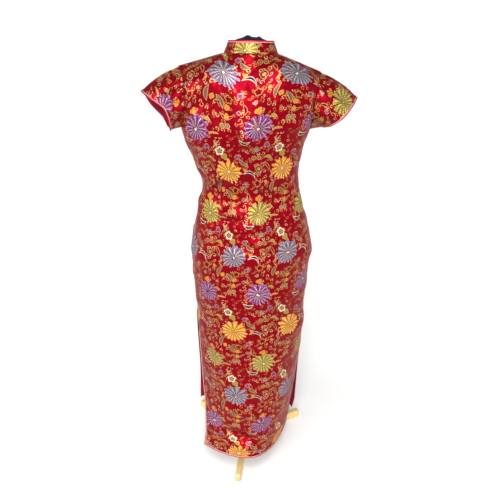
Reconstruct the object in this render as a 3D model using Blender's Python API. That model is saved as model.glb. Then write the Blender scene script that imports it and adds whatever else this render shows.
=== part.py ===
"""A short-sleeved cheongsam dress standing on a limbless dress form with a wooden tripod.

Metres, +Z up. The dress faces -Y, so its wearer's left is +X. The pole's axis is the Z axis.
Each piece of cloth is a closed wall made from one surface function, its points moved in or out.
"""

import math

import bpy
import numpy as np

# Cloth and seams
wall = 0.0015
collarWall = 0.0018
seamGap = 0.0004
layerGap = 0.0004

# Heights on the axis
hemZ = 0.065
slitTopZ = 0.575
underarmZ = 1.112
upperSpan = 0.17  # how far the height parameter runs above the underarm

# Trims: a satin binding outside the cloth's edge and a cord along the join
bindWidth = 0.0045
bindRaise = 0.0003
cordWidth = 0.0013
cordRaise = 0.0009
bindInset = bindWidth + seamGap
slitEase = 0.02  # the height over which a panel narrows to make room for its slit's binding
topGap = 0.0003  # how far a panel stops short of the shoulder seam and the neckline
sleeveGap = 0.0006

# The grid of a panel: columns run across it, rows up it
neckShare = 1 / 3  # the share of a panel's half width that ends at the neckline
neckColumns = 6  # columns each side of the middle that end at the neckline
shoulderColumns = 6  # columns each side that end on the shoulder seam
skirtRows = 11
bodyRows = 11
upperRows = 13

# Side seams, where both panels meet, and how deep the body is at the back and the front
bodyTable = {
    #        height  plusX  minusX    back   front
    "slit": (0.575, 0.157, -0.173, 0.137, -0.118),
    "thigh": (0.665, 0.167, -0.177, 0.133, -0.119),
    "hip": (0.765, 0.170, -0.184, 0.128, -0.118),
    "high hip": (0.850, 0.154, -0.164, 0.115, -0.113),
    "belly": (0.905, 0.139, -0.145, 0.098, -0.106),
    "waist": (0.960, 0.131, -0.134, 0.086, -0.099),
    "ribs": (1.020, 0.149, -0.133, 0.094, -0.112),
    "bust": (1.070, 0.173, -0.139, 0.106, -0.129),
    "underarm": (1.112, 0.184, -0.157, 0.113, -0.128),
}

# Below the slits each panel hangs by itself, and its two edges leave the side of the body
backSkirt = {
    #        height  plusX  minusX  middle   plusY  minusY  plusCurl  minusCurl
    "hem": (0.065, 0.141, -0.154, 0.172, 0.118, -0.052, 0.10, 0.70),
    "low": (0.120, 0.136, -0.156, 0.160, 0.100, -0.044, 0.20, 0.74),
    "calf": (0.210, 0.137, -0.162, 0.160, 0.080, -0.032, 0.40, 0.82),
    "shin": (0.310, 0.144, -0.168, 0.157, 0.056, -0.020, 0.60, 0.90),
    "knee": (0.420, 0.150, -0.174, 0.150, 0.032, -0.010, 0.80, 0.95),
    "lap": (0.510, 0.155, -0.175, 0.142, 0.012, -0.003, 0.95, 1.00),
}
frontSkirt = {
    "hem": (0.065, 0.174, -0.170, -0.150, -0.108, -0.062, 0.30, 0.60),
    "low": (0.120, 0.171, -0.176, -0.142, -0.092, -0.056, 0.35, 0.65),
    "calf": (0.210, 0.166, -0.175, -0.134, -0.068, -0.042, 0.50, 0.75),
    "shin": (0.310, 0.163, -0.174, -0.128, -0.044, -0.026, 0.70, 0.85),
    "knee": (0.420, 0.163, -0.175, -0.123, -0.022, -0.013, 0.85, 0.95),
    "lap": (0.510, 0.162, -0.176, -0.120, -0.006, -0.004, 1.00, 1.00),
}

# Armhole seams, from the underarm to the shoulder tip, by the share of the way up
armholes = {
    #                  share      x       y      z
    ("back", "plus"): (
        (0.00, 0.184, 0.000, 1.112),
        (0.25, 0.170, 0.048, 1.150),
        (0.50, 0.165, 0.063, 1.190),
        (0.75, 0.169, 0.040, 1.235),
        (1.00, 0.184, -0.005, 1.268),
    ),
    ("back", "minus"): (
        (0.00, -0.157, 0.000, 1.112),
        (0.25, -0.155, 0.048, 1.152),
        (0.50, -0.159, 0.063, 1.192),
        (0.75, -0.167, 0.040, 1.232),
        (1.00, -0.175, -0.005, 1.259),
    ),
    ("front", "plus"): (
        (0.00, 0.184, 0.000, 1.112),
        (0.25, 0.163, -0.053, 1.140),
        (0.50, 0.153, -0.072, 1.180),
        (0.75, 0.160, -0.048, 1.232),
        (1.00, 0.184, -0.005, 1.268),
    ),
    ("front", "minus"): (
        (0.00, -0.157, 0.000, 1.112),
        (0.25, -0.149, -0.053, 1.142),
        (0.50, -0.147, -0.072, 1.180),
        (0.75, -0.154, -0.048, 1.228),
        (1.00, -0.175, -0.005, 1.259),
    ),
}

# Sleeve hems, round from the top by way of the back, the underarm and the front
sleeveHems = {
    #           turn      x       y      z
    "left": (
        (0, 0.284, -0.005, 1.204),
        (45, 0.252, 0.038, 1.190),
        (90, 0.218, 0.058, 1.170),
        (135, 0.211, 0.044, 1.138),
        (180, 0.214, 0.002, 1.105),
        (225, 0.226, -0.040, 1.105),
        (270, 0.245, -0.064, 1.128),
        (315, 0.273, -0.048, 1.166),
    ),
    "right": (
        (0, -0.274, -0.005, 1.197),
        (45, -0.257, 0.036, 1.179),
        (90, -0.231, 0.058, 1.154),
        (135, -0.206, 0.042, 1.132),
        (180, -0.196, 0.000, 1.121),
        (225, -0.204, -0.042, 1.116),
        (270, -0.232, -0.064, 1.124),
        (315, -0.262, -0.046, 1.160),
    ),
}
sleevePuff = 0.007
sleeveRows = 5
sleeveAround = 2 * upperRows

# Neckline and stand collar
neckX = 0.002
neckY = -0.008
neckHalfWidth = 0.068
neckBackDepth = 0.063
neckFrontDepth = 0.066
neckSideZ = 1.300
neckBackRise = 0.004
neckFrontDrop = 0.040
collarHeight = 0.0245
collarLean = 0.42  # how far the collar leans in for each unit of height
collarOpening = math.radians(3.0)  # half the gap at the centre front
collarRounding = math.radians(16)
collarAround = 8 * neckColumns
armholeFlatness = 0.8  # how straight a section runs into the armhole, against a full round side
shoulderFullness = 0.7
shoulderTurn = 5  # how late the cloth turns over towards the shoulder seam
collarEndShare = 0.45  # the collar's height at its front ends, before the corner rounds up
collarFoot = 0.0010  # how far the collar's cloth starts above the neckline

# The flap crosses from the centre of the neck to the wearer's right underarm
flapLow = 0.24
flapBend = 1.5
flapTrimShort = 0.035
underlapTuck = 0.08
underlapStep = wall + 0.0009
underlapRows = 12

# Frogs along the flap: how far towards the underarm each one sits
frogs = {"neck": -0.10, "chest": -0.44, "underarm": -0.76}
barLength = 0.028
barWidth = 0.0055
barThick = 0.0016
barStart = 0.0052
barLift = 0.0036  # how far a bar's inner end rises to meet the knot
knotRadius = 0.0040

# The dress form and its stand
formBottomZ = 0.640
formShoulderGap = 0.0008
formBodyGap = 0.0048
formNeckGap = 0.0010
neckRises = (0.004, 0.013, 0.021)
neckDome = ((0.84, 1.3255), (0.62, 1.331), (0.46, 1.336), (0.30, 1.3395), (0.12, 1.3415))
formArmInset = 0.05  # the form's arm plates lie this share inside the armholes
poleRadius = 0.013
hubRadius = 0.033
hubHeight = 0.085
legReach = 0.217
legThick = 0.018
legHeight = 0.031
legRise = 0.024  # how much taller a leg is where it meets the hub
legNose = 0.010
legGap = 0.0004  # a leg's flat end stays clear of the hub's round side
legTurns = {"leg_back": 83.5, "leg_left": -36.5, "leg_right": 203.5}


def table(rows):
    return np.array(list(rows.values()), float)


def smoothly(rows, at):
    """The table's other columns at each value of its first one: a cubic that never overshoots."""
    rows = rows[np.argsort(rows[:, 0])]
    knots = rows[:, 0]
    values = rows[:, 1:]
    secants = np.diff(values, axis=0) / np.diff(knots)[:, None]
    before, after = secants[:-1], secants[1:]
    together = before * after > 0
    sums = np.where(together, before + after, 1.0)
    middle = np.where(together, 2 * before * after / sums, 0.0)
    slopes = np.concatenate([secants[:1], middle, secants[-1:]])
    at = np.asarray(at, float)
    low = np.clip(np.searchsorted(knots, at) - 1, 0, len(knots) - 2)
    span = (knots[low + 1] - knots[low])[..., None]
    f = np.clip((at - knots[low])[..., None] / span, 0, 1)
    start = (1 + 2 * f) * (1 - f) ** 2 * values[low] + f * (1 - f) ** 2 * slopes[low] * span
    end = f**2 * (3 - 2 * f) * values[low + 1] - f**2 * (1 - f) * slopes[low + 1] * span
    return start + end


def ramp(start, end, at):
    f = np.clip((at - start) / (end - start), 0, 1)
    return f * f * (3 - 2 * f)


def panelRows(side):
    """One table for the whole panel below the underarm: height, edges, middle, edge depths, curls."""
    body = table(bodyTable)
    middle = body[:, 3] if side == "back" else body[:, 4]
    zero = np.zeros(len(body))
    one = np.ones(len(body))
    upper = np.column_stack([body[:, 0], body[:, 1], body[:, 2], middle, zero, zero, one, one])
    return np.vstack([table(backSkirt if side == "back" else frontSkirt), upper])


rowTables = {"back": panelRows("back"), "front": panelRows("front")}


def lowerPoint(side, across, height):
    """A point of the section at this height, across being -1 at the wearer's right seam."""
    plusX, minusX, middle, plusY, minusY, plusCurl, minusCurl = np.moveaxis(
        smoothly(rowTables[side], height), -1, 0
    )
    plus = across > 0
    reach = np.abs(across)
    curl = np.where(plus, plusCurl, minusCurl)
    edgeY = np.where(plus, plusY, minusY)
    share = curl * np.sin(reach * math.pi / 2) + (1 - curl) * reach
    x = (plusX + minusX) / 2 + np.sign(across) * share * (plusX - minusX) / 2
    y = edgeY + (middle - edgeY) * np.cos(reach * math.pi / 2)
    return np.stack([x, y, height + 0 * x], -1)


def neckPoint(turn):
    """A point of the neckline, turn being 0 at the back and positive towards +X."""
    c = np.cos(turn)
    depth = np.where(c > 0, neckBackDepth, neckFrontDepth)
    x = neckX + neckHalfWidth * np.sin(turn)
    z = neckSideZ + np.where(c > 0, neckBackRise * c, -neckFrontDrop * c * c)
    return np.stack([x, neckY + depth * c, z], -1)


def topPoint(side, across):
    """Where a panel's column ends: on the neckline, or further out on the shoulder seam."""
    reach = np.clip(np.abs(across) / neckShare, 0, 1)
    sign = np.where(across < 0, -1.0, 1.0)
    turn = sign * reach * math.pi / 2
    neck = neckPoint(turn if side == "back" else math.pi - turn)
    out = np.clip((np.abs(across) - neckShare) / (1 - neckShare), 0, 1)[..., None]
    plusTip = np.array(armholes["back", "plus"][-1][1:])
    minusTip = np.array(armholes["back", "minus"][-1][1:])
    tip = np.where((across < 0)[..., None], minusTip, plusTip)
    return neck * (1 - out) + tip * out


def upperSection(side, across, share):
    """A section above the underarm, from one armhole through the middle to the other."""
    foot = lowerPoint(side, np.array(0.0), np.array(underarmZ))
    crown = topPoint(side, np.array(0.0))
    plus, minus = (smoothly(np.array(armholes[side, end], float), share) for end in ("plus", "minus"))
    edge = np.where((across > 0)[..., None], plus, minus)
    middleX = foot[0] + (crown[0] - foot[0]) * share
    middleY = crown[1] + (foot[1] - crown[1]) * (1 - share**2)
    middleZ = foot[2] + (crown[2] - foot[2]) * share
    reach = np.abs(across)
    curl = 1 - armholeFlatness * ramp(0, 0.35, share)
    out = curl * np.sin(reach * math.pi / 2) + (1 - curl) * reach
    x = middleX + out * (edge[..., 0] - middleX)
    y = edge[..., 1] + (middleY - edge[..., 1]) * np.cos(reach * math.pi / 2)
    z = middleZ + (edge[..., 2] - middleZ) * reach**2
    full = ramp(0.1, 0.5, reach) * (1 - reach**4)
    z = z + shoulderFullness * upperSpan * full * (np.sin(share * math.pi / 2) - share)
    return np.stack([x, y, z], -1)


def upperPoint(side, across, share):
    """The section, drawn towards the neckline and the shoulder seam as it nears them."""
    ones = np.ones(np.shape(across))
    pull = topPoint(side, across) - upperSection(side, across, ones)
    return upperSection(side, across, share) + pull * (share**shoulderTurn)[..., None]


def bodyPoint(side, across, height):
    """A point of the dress's outer face. Above the underarm the height runs on to its top edge."""
    across, height = np.broadcast_arrays(np.asarray(across, float), np.asarray(height, float))
    low = lowerPoint(side, across, np.minimum(height, underarmZ))
    share = np.clip((height - underarmZ) / upperSpan, 0, 1)
    high = upperPoint(side, across, share)
    return np.where((height <= underarmZ)[..., None], low, high)


def unit(vectors):
    return vectors / np.maximum(np.linalg.norm(vectors, axis=-1, keepdims=True), 1e-9)


def bodyNormal(side, across, height):
    step = 1e-3
    a0, a1 = np.maximum(across - step, -1), np.minimum(across + step, 1)
    h0, h1 = height - step, np.minimum(height + step, underarmZ + upperSpan)
    alongAcross = bodyPoint(side, a1, height) - bodyPoint(side, a0, height)
    alongHeight = bodyPoint(side, across, h1) - bodyPoint(side, across, h0)
    facing = -1.0 if side == "back" else 1.0
    return unit(facing * np.cross(alongAcross, alongHeight))


def colourOf(name, hexColour, roughness, metallic=0.0):
    if name in bpy.data.materials:
        return bpy.data.materials[name]
    material = bpy.data.materials.new(name)
    material.use_nodes = True
    shader = material.node_tree.nodes["Principled BSDF"]
    channels = [int(hexColour[i : i + 2], 16) / 255 for i in (0, 2, 4)]
    linear = [c / 12.92 if c <= 0.04045 else ((c + 0.055) / 1.055) ** 2.4 for c in channels]
    shader.inputs["Base Color"].default_value = (*linear, 1)
    shader.inputs["Roughness"].default_value = roughness
    shader.inputs["Metallic"].default_value = metallic
    return material


materials = {
    "brocade": ("B0101E", 0.38),
    "satin": ("B4142C", 0.30),
    "piping": ("F0B8A8", 0.45),
    "form_cloth": ("1A2140", 0.85),
    "pine": ("D9BE82", 0.55),
}


def addSolid(name, material, points, faces):
    """A closed body from points and triangles, with its faces turned outward."""
    points = np.asarray(points, float)
    faces = np.asarray(faces, int)
    a, b, c = (points[faces[:, k]] for k in range(3))
    if np.einsum("ij,ij->i", a, np.cross(b, c)).sum() < 0:
        faces = faces[:, ::-1]
    mesh = bpy.data.meshes.new(name)
    mesh.from_pydata(points.tolist(), [], faces.tolist())
    mesh.materials.append(colourOf(material, *materials[material]))
    mesh.shade_smooth()
    mesh.set_sharp_from_angle(angle=math.radians(35))
    body = bpy.data.objects.new(name, mesh)
    bpy.context.scene.collection.objects.link(body)
    return body


def gridFaces(first, rowCount, columnCount, loop=False):
    """Triangles over a grid of points, joined round on itself where it is a loop."""
    faces = []
    wrap = columnCount if loop else columnCount - 1
    for i in range(rowCount - 1):
        for j in range(wrap):
            k = (j + 1) % columnCount
            a = first + i * columnCount + j
            b = first + i * columnCount + k
            c = first + (i + 1) * columnCount + k
            d = first + (i + 1) * columnCount + j
            faces += [(a, b, c), (a, c, d)]
    return faces


def wallSolid(name, material, outer, inner, loop=False):
    """A wall between two grids of the same size, closed along its rims."""
    rowCount, columnCount = outer.shape[:2]
    count = rowCount * columnCount
    points = np.concatenate([outer.reshape(-1, 3), inner.reshape(-1, 3)])
    faces = gridFaces(0, rowCount, columnCount, loop)
    faces += [face[::-1] for face in gridFaces(count, rowCount, columnCount, loop)]
    bottom = [j for j in range(columnCount)]
    top = [(rowCount - 1) * columnCount + j for j in range(columnCount)]
    if loop:
        rims = [(bottom + bottom[:1], 1), (top + top[:1], -1)]
    else:
        left = [i * columnCount for i in range(rowCount)]
        right = [i * columnCount + columnCount - 1 for i in range(rowCount)]
        rims = [(bottom, 1), (right, 1), (top, -1), (left, -1)]
    for rim, way in rims:
        for p, q in zip(rim, rim[1:]):
            if way < 0:
                p, q = q, p
            faces += [(q, p, p + count), (q, p + count, q + count)]
    return addSolid(name, material, points, faces)


def sweepSolid(name, material, sections, loop=False):
    """A bar through sections of the same number of corners, with flat ends unless it is a loop."""
    stations, corners = sections.shape[:2]
    points = sections.reshape(-1, 3)
    faces = []
    for k in range(stations if loop else stations - 1):
        near = k * corners
        far = ((k + 1) % stations) * corners
        for m in range(corners):
            n = (m + 1) % corners
            faces += [(near + m, near + n, far + n), (near + m, far + n, far + m)]
    if not loop:
        last = (stations - 1) * corners
        for m in range(1, corners - 1):
            faces.append((0, m + 1, m))
            faces.append((last, last + m, last + m + 1))
    return addSolid(name, material, points, faces)


def rectangle(edge, along, normal, near, far, low, high):
    """A four-cornered section at each point of an edge, between two distances along and out."""
    corners = [(near, low), (far, low), (far, high), (near, high)]
    return np.stack([edge + along * a + normal * h for a, h in corners], axis=1)


def addTrim(name, edge, along, normal, thick, loop=False):
    """A binding that carries on past an edge, and a cord that lies over the join."""
    binding = rectangle(edge, along, normal, seamGap, bindInset, -thick, bindRaise)
    sweepSolid(f"binding_{name}", "satin", binding, loop)
    low = bindRaise + layerGap
    cord = rectangle(edge, along, normal, -cordWidth / 2, cordWidth / 2, low, low + cordRaise)
    sweepSolid(f"piping_{name}", "piping", cord, loop)


def edgeInset(height):
    """How far a panel's cloth stops short of its slit edge, to leave room for the binding."""
    return bindInset * ramp(slitTopZ, slitTopZ - slitEase, height)


def acrossEnds(side, height):
    """The parameter across at a panel's two edges at each height, less the seam gap or binding."""
    away = seamGap / 2 + edgeInset(height)
    ends = []
    for end in (-1.0, 1.0):
        edge = np.full(np.shape(height), end)
        step = 0.01
        run = bodyPoint(side, edge, height) - bodyPoint(side, edge * (1 - step), height)
        ends.append(edge * (1 - away / np.linalg.norm(run, axis=-1) * step))
    return ends


def acrossSteps():
    """Where the columns stand, closer together below the neck."""
    neck = np.linspace(0, neckShare, neckColumns + 1)
    shoulder = np.linspace(neckShare, 1, shoulderColumns + 1)
    half = np.concatenate([neck, shoulder[1:]])
    return np.concatenate([-half[:0:-1], half])


def panelGrid(side):
    """The parameters across and up of each point of a panel."""
    skirtTop = slitTopZ - slitEase
    skirtLow = hemZ + bindInset
    skirt = skirtLow + (skirtTop - skirtLow) * np.linspace(0, 1, skirtRows + 1)[:-1] ** 0.9
    body = np.linspace(skirtTop, underarmZ, bodyRows + 1)
    upper = underarmZ + upperSpan * np.linspace(0, 1, upperRows + 1)[1:]
    heights = np.concatenate([skirt, body, upper])
    across = acrossSteps()
    heights = np.repeat(heights[:, None], len(across), 1)
    if side == "front":
        share = flapShare(across)
        above = heights > underarmZ
        heights = np.where(above, underarmZ + (heights - underarmZ) * share[None, :], heights)
    right, left = acrossEnds(side, heights)
    spread = np.broadcast_to(across, heights.shape)
    inside = np.where(spread < 0, -spread * right, spread * left)
    return inside, np.minimum(heights, underarmZ + upperSpan - topGap)


def flapShare(across):
    """How far up the front the flap's cloth reaches, as a share of the way to the top edge."""
    reach = np.clip(-across, 0, 1)
    return flapLow + (1 - flapLow) * (1 - reach) ** flapBend


def wallNormal(side, across, height):
    """The normal, turned on the shoulder seam to halve the angle between the two panels."""
    normal = bodyNormal(side, across, height)
    other = bodyNormal("front" if side == "back" else "back", across, height)
    onSeam = np.abs(across) > neckShare - 1e-6
    onSeam = onSeam & (height > underarmZ + upperSpan - 2 * topGap)
    return np.where(onSeam[..., None], unit(normal + other), normal)


def shape(side, across, height, inward):
    """Points of a layer that lies this far inside the dress's outer face."""
    inward = np.broadcast_to(np.asarray(inward, float), np.shape(across))
    normal = wallNormal(side, across, height)
    return bodyPoint(side, across, height) - normal * inward[..., None]


def addPanel(side):
    across, heights = panelGrid(side)
    wallSolid(
        f"{side}_panel",
        "brocade",
        shape(side, across, heights, 0.0),
        shape(side, across, heights, wall),
    )


def addSkirtTrim(side):
    """The binding goes down one slit, round the hem and up the other slit."""
    across, heights = panelGrid(side)
    rows = skirtRows + 1
    right = np.column_stack([across[rows - 1 :: -1, 0], heights[rows - 1 :: -1, 0]])
    hem = np.column_stack([across[0], heights[0]])
    left = np.column_stack([across[:rows, -1], heights[:rows, -1]])
    way = 1 if side == "front" else -1
    pieces = []
    for run in (right, hem, left):
        edge = bodyPoint(side, run[:, 0], run[:, 1])
        normal = bodyNormal(side, run[:, 0], run[:, 1])
        away = unit(np.cross(unit(np.gradient(edge, axis=0)), normal)) * way
        pieces.append([edge, away, normal])
    for first, second in ((0, 1), (1, 2)):
        # At a corner the trim goes out along both edges at once.
        pieces[first][1][-1] += pieces[second][1][0]
        pieces[second] = [values[1:] for values in pieces[second]]
    edge, away, normal = (np.concatenate(values) for values in zip(*pieces))
    addTrim(f"{side}_skirt", edge, away, normal, wall)


def armholeRing(name, turns):
    """The armhole seam round from the shoulder tip by way of the back, as points."""
    back = smoothly(np.array(armholes["back", name], float), 1 - turns / math.pi)
    front = smoothly(np.array(armholes["front", name], float), turns / math.pi - 1)
    return np.where((turns <= math.pi)[:, None], back, front)


def closedCurve(rows, turns):
    """A closed smooth curve through a table whose first column is the turn in degrees."""
    rows = np.array(rows, float)
    turn = np.zeros_like(rows)
    turn[:, 0] = 360
    return smoothly(np.vstack([rows - turn, rows, rows + turn]), np.degrees(turns))


def sleevePoint(side, turns, share):
    """A point of a sleeve's outer face, share being 0 at the armhole and 1 at the hem."""
    start = armholeRing("plus" if side == "left" else "minus", turns)
    end = closedCurve(sleeveHems[side], turns)
    middle = (start.mean(0) + end.mean(0)) / 2
    out = unit((start + end) / 2 - middle) * (0.5 + 0.5 * np.cos(turns))[:, None]
    return start + (end - start) * share + out * sleevePuff * 4 * share * (1 - share)


def sleeveNormal(points, side):
    """The outward normals of a grid of rows round a sleeve, from the points beside each one."""
    around = np.roll(points, -1, axis=1) - np.roll(points, 1, axis=1)
    along = np.gradient(points, axis=0)
    facing = -1.0 if side == "left" else 1.0
    return unit(facing * np.cross(around, along))


def addSleeve(side):
    turns = np.arange(sleeveAround) * 2 * math.pi / sleeveAround
    start = sleevePoint(side, turns, 0.0)
    length = np.linalg.norm(sleevePoint(side, turns, 1.0) - start, axis=-1)
    first = sleeveGap / length
    last = 1 - bindInset / length
    rows = [first + (last - first) * k / sleeveRows for k in range(sleeveRows + 1)]
    outer = np.stack([sleevePoint(side, turns, row[:, None]) for row in rows])
    normal = sleeveNormal(outer, side)
    wallSolid(f"sleeve_{side}", "brocade", outer, outer - normal * wall, loop=True)
    away = unit(outer[-1] - outer[-2])
    addTrim(f"sleeve_{side}", outer[-1], away, normal[-1], wall, loop=True)


def radialOf(turn):
    return np.stack([np.sin(turn), np.cos(turn), 0 * turn], -1)


def collarPoint(turn, height):
    """A point of the collar's outer face, from the neckline up and leaning in."""
    lean = np.array([0, 0, 1.0]) - radialOf(turn) * collarLean
    return neckPoint(turn) + np.asarray(height)[..., None] * lean


def collarNormal(turn):
    return unit(radialOf(turn) + np.array([0, 0, collarLean]))


def addCollar():
    turns = np.arange(-collarAround // 2, collarAround // 2 + 1) * 2 * math.pi / collarAround
    turns[0] += collarOpening
    turns[-1] -= collarOpening
    fromEnd = math.pi - collarOpening - np.abs(turns)
    rounded = np.sin(np.clip(fromEnd / collarRounding, 0, 1) * math.pi / 2)
    full = collarHeight * (collarEndShare + (1 - collarEndShare) * rounded)
    rows = [collarFoot + (full - collarFoot) * share for share in (0, 0.5, 1)]
    outer = np.stack([collarPoint(turns, row) for row in rows])
    normal = collarNormal(turns)
    wallSolid("collar", "brocade", outer, outer - normal * collarWall)
    away = unit(np.cross(normal, np.gradient(outer[-1], axis=0)))
    away = away * np.sign(away[:, 2:])
    addTrim("collar", outer[-1], away, normal, collarWall)


def underlapInward(across, share):
    """The underlap dips beneath the flap near its edge and is flush with the shoulder above it."""
    beyond = (share - flapShare(across)) * upperSpan
    return underlapStep * (1 - ramp(0.010, 0.024, beyond))


def addUnderlap():
    across = acrossSteps()
    across = across[: len(across) // 2 + 3]
    low = np.clip(flapShare(across) - underlapTuck, 0, 1)
    rise = np.linspace(0, 1, underlapRows + 1)[:, None]
    share = low + (1 - topGap / upperSpan - low) * rise
    heights = underarmZ + share * upperSpan
    right, _ = acrossEnds("front", heights)
    spread = np.where(across < 0, -across * right, across + 0 * right)
    inward = underlapInward(spread, share)
    wallSolid(
        "underlap",
        "brocade",
        shape("front", spread, heights, inward),
        shape("front", spread, heights, inward + wall),
    )


def addFlapTrim():
    across = np.linspace(-1 + flapTrimShort, -flapTrimShort, 18)
    heights = underarmZ + upperSpan * flapShare(across)
    edge = bodyPoint("front", across, heights)
    normal = bodyNormal("front", across, heights)
    away = unit(np.cross(normal, np.gradient(edge, axis=0)))
    addTrim("flap", edge, away, normal, wall)


def turned(name, material, profile, sides, centre=(0, 0)):
    """A turned body: a table of radius and height spun round the Z axis, closed at both ends."""
    angles = np.arange(sides) * 2 * math.pi / sides
    points = [(centre[0], centre[1], profile[0][1])]
    for radius, z in profile:
        points += [
            (centre[0] + radius * math.cos(a), centre[1] + radius * math.sin(a), z) for a in angles
        ]
    points.append((centre[0], centre[1], profile[-1][1]))
    faces = gridFaces(1, len(profile), sides, loop=True)
    last = len(points) - 1
    for j in range(sides):
        k = (j + 1) % sides
        faces.append((0, 1 + k, 1 + j))
        faces.append((last, last - sides + j, last - sides + k))
    return addSolid(name, material, points, faces)


def surfaceLine(across, height, direction, distances):
    """Parameters of the front's points at these distances from one point, along a direction."""
    step = 1e-3
    here = bodyPoint("front", across, height)
    acrossWay = (bodyPoint("front", across + step, height) - here) / step
    heightWay = (bodyPoint("front", across, height + step) - here) / step
    ways = np.stack([acrossWay, heightWay], -1)
    rate = np.linalg.lstsq(ways, direction, rcond=None)[0]
    return across + rate[0] * distances, height + rate[1] * distances


def addFrog(name, across):
    """Two cloth bars square to the flap's edge, their inner ends raised to a knot over the join."""
    height = underarmZ + float(flapShare(np.array(across))) * upperSpan
    near = np.array([across - 0.01, across + 0.01])
    edge = bodyPoint("front", near, underarmZ + flapShare(near) * upperSpan)
    normal = bodyNormal("front", np.array(across), np.array(height))
    run = unit(edge[1] - edge[0])
    away = unit(np.cross(normal, run))
    steps = np.array([0, 0.0015, 0.004, 0.008, 0.015, barLength - barStart])
    for part, way in (("flap", -1), ("underlap", 1)):
        distances = barStart + (steps[:-1] if name == "neck" else steps)
        lineAcross, lineHeight = surfaceLine(across, height, away, way * distances)
        normals = bodyNormal("front", lineAcross, lineHeight)
        out = layerGap + barLift * (1 - ramp(barStart, barStart + 0.007, distances))
        if way > 0:
            out = out - underlapInward(lineAcross, (lineHeight - underarmZ) / upperSpan)
        middle = bodyPoint("front", lineAcross, lineHeight) + normals * out[:, None]
        corners = [(-1, 0), (1, 0), (1, 1), (-1, 1)]
        half = barWidth / 2
        sections = [middle + run * half * u + normals * barThick * h for u, h in corners]
        sweepSolid(f"frog_{name}_bar_{part}", "satin", np.stack(sections, axis=1))
    lift = bindRaise + layerGap + cordRaise + layerGap + knotRadius
    addBall(f"frog_{name}_knot", "satin", bodyPoint("front", across, height) + normal * lift)


def addBall(name, material, centre, rings=7, sides=12):
    profile = []
    for k in range(rings):
        angle = math.pi * (k + 0.5) / rings - math.pi / 2
        profile.append((knotRadius * math.cos(angle), knotRadius * math.sin(angle)))
    turned(name, material, profile, sides).location = centre


def formRing(height):
    """One ring of the torso, as points round the back from -X to +X and on across the front."""
    up = float(np.clip((height - underarmZ) / upperSpan, 0, 1))
    across = acrossSteps()
    across = across * (1 - formArmInset * ramp(0, 0.06, up) * ramp(0.75, 1, np.abs(across)))
    ring = []
    for side, order in (("back", across), ("front", across[::-1])):
        near = ramp(0.8, 1.0, up) * ramp(0.25, 0.5, np.abs(order))
        inward = wall + formBodyGap + (formShoulderGap - formBodyGap) * near
        ring.append(shape(side, order, np.full(order.shape, height), inward))
    return ring


def neckRings():
    """Rings of the form's neck: up inside the collar, then over in a low dome."""
    back = np.arange(-neckColumns, neckColumns + 1) * math.pi / 2 / neckColumns
    front = math.pi - back[-2:0:-1]
    turns = np.concatenate([back, front])
    inward = collarNormal(turns) * (collarWall + formNeckGap)
    rings = [collarPoint(turns, np.full(turns.shape, rise)) - inward for rise in neckRises]
    rim = rings[-1]
    centre = rim.mean(0)
    for share, z in neckDome:
        ring = centre + (rim - centre) * share
        ring[:, 2] = z + (rim[:, 2] - rim[:, 2].max()) * share**6
        rings.append(ring)
    return rings


def addForm():
    """The torso, closed across the armholes, with the neck risen to a low dome."""
    heights = list(np.linspace(formBottomZ, underarmZ, bodyRows + 1))
    heights += [underarmZ + upperSpan * k / upperRows for k in range(1, upperRows + 1)]
    rings = [formRing(height) for height in heights]
    back, front = rings[-1]
    middle = neckColumns + shoulderColumns
    onShoulder = np.abs(np.arange(len(back)) - middle) >= neckColumns
    seam = (back + front[::-1]) / 2
    back = np.where(onShoulder[:, None], seam, back)
    front = np.where(onShoulder[:, None], seam[::-1], front)
    rings[-1] = [back, front]
    points = []
    number = {}

    def place(point):
        key = tuple(np.round(point, 6))
        if key not in number:
            number[key] = len(points)
            points.append(point)
        return number[key]

    faces = []

    def join(lower, upper):
        for j in range(len(lower)):
            k = (j + 1) % len(lower)
            for face in ((lower[j], lower[k], upper[k]), (lower[j], upper[k], upper[j])):
                if len(set(face)) == 3:
                    faces.append(face)

    loops = [[place(point) for point in np.concatenate(ring)] for ring in rings]
    for lower, upper in zip(loops, loops[1:]):
        join(lower, upper)
    frontNeck = len(back) + middle - neckColumns + 1
    neck = loops[-1][middle - neckColumns : middle + neckColumns + 1]
    neck += loops[-1][frontNeck : frontNeck + 2 * neckColumns - 1]
    necks = [neck] + [[place(point) for point in ring] for ring in neckRings()]
    for lower, upper in zip(necks, necks[1:]):
        join(lower, upper)
    for loop, way in ((loops[0], 1), (necks[-1], -1)):
        hub = place(np.array([points[k] for k in loop]).mean(0))
        for j in range(len(loop)):
            face = (hub, loop[(j + 1) % len(loop)], loop[j])
            faces.append(face[::way])
    addSolid("form_torso", "form_cloth", points, faces)


def addStand():
    gap = seamGap
    turned("pole", "pine", [(poleRadius, hubHeight + gap), (poleRadius, formBottomZ - gap)], 20)
    edge = 0.004
    profile = [
        (hubRadius, 0.0),
        (hubRadius, hubHeight - edge),
        (hubRadius - edge, hubHeight),
    ]
    turned("hub", "pine", profile, 24)
    for name, turn in legTurns.items():
        addLeg(name, math.radians(turn))


def addLeg(name, turn):
    """A board on edge: its outline in the plane of the leg, thickened to both sides."""
    start = hubRadius + legGap
    half = legHeight / 2
    outline = [(start, 0.0)]
    for k in range(7):
        angle = -math.pi / 2 + math.pi * k / 6
        outline.append((legReach - legNose + legNose * math.cos(angle), half + half * math.sin(angle)))
    outline += [(legReach * 0.62, legHeight), (start, legHeight + legRise)]
    along = np.array([math.cos(turn), math.sin(turn), 0])
    aside = np.array([-math.sin(turn), math.cos(turn), 0])
    sections = [
        [along * r + aside * offset + np.array([0, 0, z]) for r, z in outline]
        for offset in (-legThick / 2, legThick / 2)
    ]
    sweepSolid(name, "pine", np.array(sections))


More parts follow.
